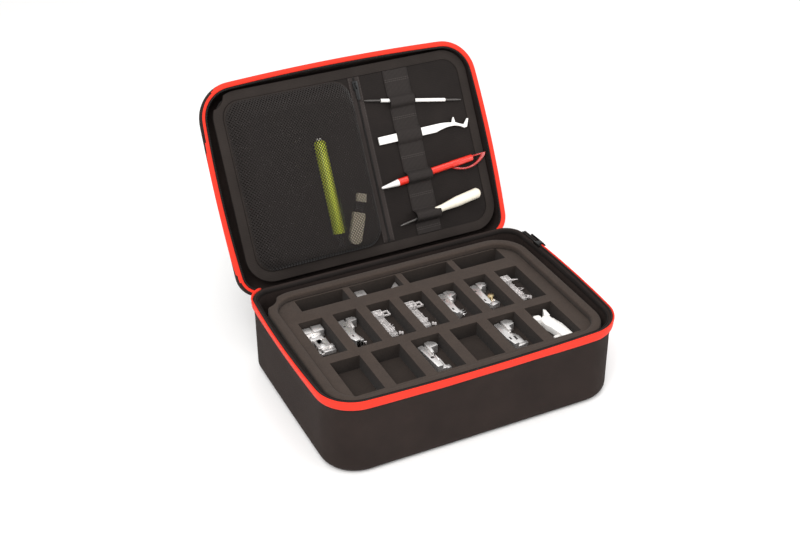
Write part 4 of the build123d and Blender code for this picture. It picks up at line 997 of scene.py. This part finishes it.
steel = finish["steel"]
shade = finish["shade"]
feet = {
    "zigzag_foot": [
        ("block", 0.2, 0.2, 9, 10, 1.0, 9.5, steel), ("block", 10.2, 0.2, 22, 11.4, 1.0, 10.3, steel),
        ("block", 8.4, 1.5, 10.8, 9.2, 1.0, 7.4, steel), ("block", 2.6, 8, 17.6, 21, 0.8, 6.3, steel),
        ("window", (4.6, 20, 19.5, 36.5), (8.2, 21, 13.4, 29), 0.8, 5.8, steel),
        ("disc", 11, 32.4, 3.6, 5.0, 6.2, steel), ("disc", 11, 32.4, 2.2, 5.5, 7.0, steel),
        ("block", 0.4, 10, 3.0, 42, 0.8, 4.4, steel), ("block", 18, 32.5, 22.4, 38.3, 0.8, 5.2, steel),
        ("block", 8.5, 36, 18, 39.5, 0.6, 3.6, steel), ("block", 0.8, 38.2, 5.6, 43.8, 0.1, 4.2, steel),
        ("block", 8.6, 38.6, 22.2, 43.8, 0.1, 4.2, steel), ("block", 5.0, 41.2, 9.2, 43.6, 0.1, 2.2, steel),
        ("bar", [(3.4, 14.5, 6.0), (19.0, 14.5, 6.0)], 1.2, steel, 10),
    ],
    "narrow_foot": [
        ("plate", [(0.2, 1.6), (7.4, 0.9), (7.4, 15.8), (9.1, 17.2), (9.1, 43.8), (3, 43.8), (0.2, 38)],
         0.3, 9.6, steel),
        ("plate", [(10, 0.7), (17.4, 0.2), (20.8, 2.6), (20.4, 7.5), (13, 8.6), (12.6, 19.8), (10, 19.8)],
         0.3, 10.2, steel),
        ("block", 7.2, 1.6, 10.4, 19.6, 0.3, 6.8, steel),
        ("plate", [(9, 20), (9.9, 22), (14.2, 39.5), (12.2, 43.8), (9, 43.8)], 1.0, 6.4, steel),
        ("block", 4.2, 39.4, 12.6, 43.8, 0.2, 8.2, steel), ("disc", 16, 41.4, 1.3, 0.2, 3.4, steel, 12),
        ("block", 3.6, 32, 5.2, 36, 9.4, 9.75, shade, 0.05),
        ("block", 1.8, 13, 4.2, 15.2, 9.4, 9.75, shade, 0.05),
        ("bar", [(12.6, 38, 2), (17.5, 41.4, 1.6)], 0.7, steel, 8),
    ],
    "hem_foot": [
        ("plate", [(0.2, 3.0), (7.4, 1.6), (8.2, 15.5), (9.4, 17.5), (9.0, 43.6), (4.2, 43.8), (0.2, 36)],
         0.3, 9.4, steel),
        ("plate", [(8.8, 1.2), (14.5, 0.2), (20.8, 4.2), (20.6, 10.6), (13.4, 12.8),
                   (13.0, 19.5), (9.6, 19.0)],
         0.3, 10.2, steel),
        ("block", 7.2, 2.0, 9.4, 18.4, 0.3, 7.0, steel), ("block", 8.6, 18, 12.4, 34, 0.6, 5.4, steel),
        ("plate", [(8.8, 32), (12.6, 33), (13.4, 41), (8.8, 43.6)], 0.3, 6.2, steel),
        ("block", 3.2, 33, 5.0, 37, 9.2, 9.55, shade, 0.05),
        ("block", 2.0, 13.5, 4.4, 15.8, 9.2, 9.55, shade, 0.05),
    ],
    "screw_foot": [
        ("plate", [(0.2, 3.2), (8.6, 1.2), (9.0, 15.5), (9.8, 17.5), (9.6, 41), (5.4, 43.6), (0.2, 37)],
         0.3, 9.2, steel),
        ("plate", [(10.4, 0.6), (16.8, 0.2), (20.8, 3.4), (19.6, 9.2), (13.2, 10.0),
                   (12.6, 13.0), (10.4, 13.0)],
         0.3, 10.0, steel),
        ("block", 8.4, 1.8, 10.8, 15.8, 0.3, 6.6, steel), ("block", 9.2, 14, 11.6, 36, 0.6, 5.0, steel),
        ("plate", [(8.6, 35.6), (18.2, 35.0), (20.2, 41.0), (10.0, 43.8)], 0.2, 5.4, steel),
        ("block", 3.2, 33, 5.0, 37, 9.0, 9.35, shade, 0.05),
        ("block", 2.0, 13, 4.4, 15.4, 9.0, 9.35, shade, 0.05),
    ],
    "blind_foot": [
        ("plate", [(0.2, 3.0), (6.4, 2.0), (7.0, 12), (7.4, 22), (10.6, 24.5), (10.6, 43.6),
                   (4.0, 43.8), (2.2, 24)],
         0.3, 8.4, steel),
        ("plate", [(8.6, 1.6), (14.6, 0.2), (20.6, 4.8), (20.8, 10.4), (12.0, 11.8), (11.6, 20), (8.6, 20)],
         0.3, 10.2, steel),
        ("block", 6.2, 2.6, 9.0, 20.5, 0.3, 6.6, steel),
        ("window", (9.8, 25.5, 15.2, 43.8), (11.4, 29, 13.6, 39), 0.3, 4.6, steel),
        ("block", 4.4, 24.6, 8.0, 28.2, 8.2, 8.55, shade, 0.05),
        ("block", 15.0, 38, 20.4, 43.6, 0.2, 3.0, steel),
        ("bar", [(12.4, 21, 6), (12.4, 30, 5.4)], 0.9, steel, 8),
    ],
    "wide_foot": [
        ("plate", [(0.2, 2.6), (7.0, 1.4), (7.4, 14), (8.6, 20), (8.6, 43.6), (3.4, 43.8), (0.6, 30)],
         0.3, 8.8, steel),
        ("plate", [(9.2, 1.2), (15.4, 0.2), (21.2, 4.6), (20.8, 10.6), (13.6, 12.4),
                   (13.2, 19.4), (9.2, 19.4)],
         0.3, 10.2, steel),
        ("block", 6.6, 2.0, 9.6, 19.8, 0.3, 6.6, steel),
        ("plate", [(8.4, 21.5), (13.4, 21.0), (17.2, 27), (17.4, 40.5), (8.4, 41.5)], 0.3, 5.8, steel),
        ("plate", [(8.4, 38.5), (21.2, 37.2), (21.2, 42.0), (12, 43.8), (8.4, 43.8)], 0.2, 4.2, steel),
        ("block", 3.2, 30, 5.2, 35, 8.6, 8.95, shade, 0.05),
        ("block", 10.6, 27, 13.2, 34, 5.6, 5.95, shade, 0.05),
    ],
    "edge_guide": [
        ("plate", [(0.4, 9.5), (3.2, 7.4), (9.4, 8.2), (10.4, 12.0), (8.6, 17.2), (2.6, 17.0), (0.2, 13.4)],
         0.4, 10.2, finish["white"], 1.2),
        ("plate", [(8.6, 13.0), (16.5, 7.6), (19.4, 0.2), (21.6, 3.4), (21.8, 15.4), (26.4, 30), (27.2, 57),
                   (14.8, 58.2), (13.4, 44.5), (10.8, 31), (8.2, 24.5)], 0.4, 7.6, finish["white"], 0.8),
        ("plate", [(14.6, 11.2), (19.3, 0.6), (21.3, 3.6), (20.6, 13.6)], 7.2, 10.3, finish["white"], 0.4),
        ("plate", [(7.2, 43.5), (13.8, 42.0), (15.4, 57.6), (9.8, 58.2)], 0.2, 4.0, finish["white"], 0.6),
        ("bar", [(22.4, 18, 7.5), (25.0, 54, 7.5)], 0.5, finish["white"], 8),
    ],
}
for nodeName, parts in feet.items():
    footPiece(nodeName, {"edge_guide": "white_plastic"}.get(nodeName, "foot_steel"), parts)

# Guide wires of the hem foot, and the thumb screw
wireAt = turnedPlace("hem_foot")
hemWires = []
for y in (30.4, 34.2, 38.0):
    arc = [(14.3 + 5.2 * (1 - math.cos(a)) / 2, y + 2.2 * math.sin(a), 2.4)
           for a in [math.pi * k / 8 for k in range(9)]]
    hemWires.append(bar(wireAt, arc, 0.42, steel, 8))
hemWires.append(bar(wireAt, [(14.4, 30, 2.4), (14.4, 42.4, 2.4)], 0.42, steel, 8))
stand(joined("hemFootWires", hemWires), "hem_foot", "foot_steel", "hem_foot_wires")
screwAt = turnedPlace("foot_screw")
brass = finish["brass"]
knob = [disc(screwAt, 4.0, 4.0, 3.8, 5.2, 7.8, brass, 24), disc(screwAt, 4.0, 4.0, 2.6, 7.4, 8.0, brass),
        block(screwAt, 1.7, 4.6, 6.3, 12.9, 0.3, 4.6, brass, 0.8)]
for x in (2.6, 4.0, 5.4):
    knob.append(bar(screwAt, [(x, 6.4, 4.7), (x, 12.6, 4.7)], 0.4, steel, 6))
stand(joined("footScrew", knob), "screw_foot", "brass", "foot_screw")


# Clear feet: thick polycarbonate. Their bright edges are painted highlights, drawn as thin rods and frames of
# a whitish, less clear plastic
def clearParts(seed, openToe):
    dice = random.Random(seed)
    # edge is the whitish plastic of the painted edge highlights
    clear, edge = finish["clear"], finish["clearEdge"]
    parts = [
        ("block", 0.3, 0.4, 12, 11, 0.6, 9.4, clear, 0.8),
        ("window", (12.2, 0.4, 20.6, 9.2), (13.6, 1.8, 19.2, 7.8), 4.8, 6.6, edge, 0.3),
        ("block", 2.4, 10.4, 11.6, 38, 0.5, 4.6, clear, 0.6),
        ("block", 3.2, 37.4, 13.6, 43.4, 0.3, 3.4, clear, 0.6),
        ("bar", [(11.8, 9.6, 7), (20.4, 9.4, 7)], 0.55, edge),
    ]
    for x in (2.6, 5.4, 8.4, 11.2):
        parts.append(("bar", [(x, 11, 4.9), (x + 0.6, 24, 4.7), (x + 1.0, 37.5, 4.4)], 0.38, edge))
    for y in (0.6, 5.4, 10.8):
        parts.append(("bar", [(0.5, y, 9.3), (11.8, y, 9.3)], 0.36, edge))
    for x in (0.7, 6.0, 11.6):
        parts.append(("bar", [(x, 0.6, 9.3), (x, 10.8, 9.3)], 0.36, edge))
    # short whitish rods scattered at random: painted glints on the clear plastic
    for _ in range(20):
        x, y = dice.uniform(1, 10.5), dice.uniform(1, 10)
        end = (x + dice.uniform(-1.6, 1.6), y + dice.uniform(-1.6, 1.6), 9.5)
        parts.append(("bar", [(x, y, 9.2), end], 0.3, edge))
    # more painted glints, on the sole
    for _ in range(18):
        x, y = dice.uniform(4, 13), dice.uniform(14, 40)
        end = (x + dice.uniform(-2, 2), y + dice.uniform(-3, 3), 5.4)
        parts.append(("bar", [(x, y, 4.6), end], 0.36, edge))
    for x, y in ((14.2, 30), (16.8, 40.4), (19.0, 42.0)):
        parts.append(("block", x - 1.0, y - 1.0, x + 1.0, y + 1.2, 0.3, 3.2, edge))
    if openToe:
        parts = [part for part in parts if part[0] != "window"]
        parts += [
            ("plate", [(4, 18), (12, 16), (12.5, 41), (5, 42)], 0.4, 3.0, clear, 0.4),
            ("bar", [(12, 20, 3.2), (20, 25, 3.2), (12, 27, 3.2)], 0.5, edge),
            ("bar", [(12, 34, 2.2), (20.4, 40.6, 2.2), (8, 43, 2.2), (12, 34, 2.2)], 0.55, edge),
            ("bar", [(11, 8, 8), (20, 11, 7.4)], 0.6, edge),
        ]
    return parts


for nodeName, seed in (("clear_foot_left", 4), ("clear_foot_right", 9), ("open_toe_foot", 15)):
    footPiece(nodeName, "clear_plastic", clearParts(seed, nodeName == "open_toe_foot"))
longFoot = soften("longFoot", "long_foot", steel, 0.4 * mm)
stand(longFoot, nodes["long_foot"]["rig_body"], "foot_steel", "long_foot")
print("feet made")

# Small tools, sliders and the rest keep their machined shapes, with edges rounded where they are sharp
for nodeName, name, material, slot, width in (
    ("flat_tool", "flatTool", "white", "white_plastic", 0.35),
    ("pen_clip", "penClip", "clearRed", "clear_red", 0.35),
    ("marker_clip", "markerClip", "clearLime", "clear_lime", 0.3),
    ("zip_slider", "zipSlider", "enamel", "slider_metal", 0.4),
    ("zip_slider_pull", "zipSliderPull", "enamel", "slider_metal", 0.35),
    ("pocket_zip_slider", "pocketSlider", "enamel", "slider_metal", 0.3),
    ("pocket_slider_pull", "pocketSliderPull", "enamel", "slider_metal", 0.25),
    ("zip_end_tab", "zipEndTab", "lining", "black_cloth", 0.4),
    ("screwdriver_handle", "driverHandle", "ivory", "ivory", 0.3),
    ("pen_barrel", "penBarrel", "red", "red_plastic", 0.25),
    ("marker_barrel", "markerBarrel", "lime", "lime", 0.3),
):
    piece = soften(name, nodeName, finish[material], width * mm)
    stand(piece, nodes[nodeName]["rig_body"], slot, nodeName)
for nodeName, material in (
    ("double_tool_shaft", "white"), ("double_tool_tips", "greyMetal"), ("pen_nose", "white"),
    ("screwdriver_blade", "greyMetal"), ("marker_button", "white"), ("marker_tip", "smoke"),
    ("brush_cap", "beige"), ("brush_neck", "smoke"), ("brush_body", "beige"), ("wire_guides", "steel"),
):
    dress(nodeName, finish[material])
print("tools made")

# Camera, floor and light
camera = {"azimuth": 25.63, "elevation": 31.75, "roll": -0.38, "distance": 1481.2, "aside": (-35.4, 80.1),
          "target": (0, 0, 50), "lens": 60.525}
az, el, roll = (math.radians(camera[key]) for key in ("azimuth", "elevation", "roll"))
ahead = Vector((math.sin(az) * math.cos(el), math.cos(az) * math.cos(el), -math.sin(el)))
level = Vector((math.cos(az), -math.sin(az), 0))
above = level.cross(ahead)
right = level * math.cos(roll) + above * math.sin(roll)
up = above * math.cos(roll) - level * math.sin(roll)
aside = right * camera["aside"][0] + up * camera["aside"][1]
eye = Vector(camera["target"]) - ahead * camera["distance"] + aside
cameraData = bpy.data.cameras.new("camera")
cameraData.lens = camera["lens"]
cameraData.sensor_width = 36
cameraData.sensor_fit = "HORIZONTAL"
cameraData.clip_end = 20
cameraObject = addObject("camera", cameraData)
axes = Matrix((right, up, -ahead)).transposed().to_4x4()
cameraObject.matrix_world = Matrix.Translation(eye * mm) @ axes
bpy.context.scene.camera = cameraObject

floorMesh = bpy.data.meshes.new("floor")
floorReach = 9  # metres from the middle to each edge
floorCorners = [(x * floorReach, y * floorReach, 0) for x, y in ((-1, -1), (1, -1), (1, 1), (-1, 1))]
floorMesh.from_pydata(floorCorners, [], [(0, 1, 2, 3)])
floorMesh.materials.append(startMaterial("paleFloor", "#f4f3f2", 0.7)[0])
floor = addObject("floor", floorMesh)

world = bpy.data.worlds.new("studio")
bpy.context.scene.world = world
world.use_nodes = True
world.node_tree.nodes["Background"].inputs["Color"].default_value = linear("#ffffff")
world.node_tree.nodes["Background"].inputs["Strength"].default_value = 0.72
for name, place, size, power in (
    ("keyLight", (-1.1, -1.3, 2.0), 1.6, 52.0),
    ("fillLight", (1.7, -1.4, 1.2), 1.6, 20.0),
    ("topLight", (0.1, 0.1, 2.4), 1.8, 14.0),
):
    light = bpy.data.lights.new(name, "AREA")
    light.size = size
    light.energy = power
    lamp = addObject(name, light)
    lamp.location = place
    lamp.rotation_euler = (Vector((0, 0, 0.08)) - Vector(place)).to_track_quat("-Z", "Y").to_euler()
bpy.context.scene.view_settings.view_transform = "Standard"
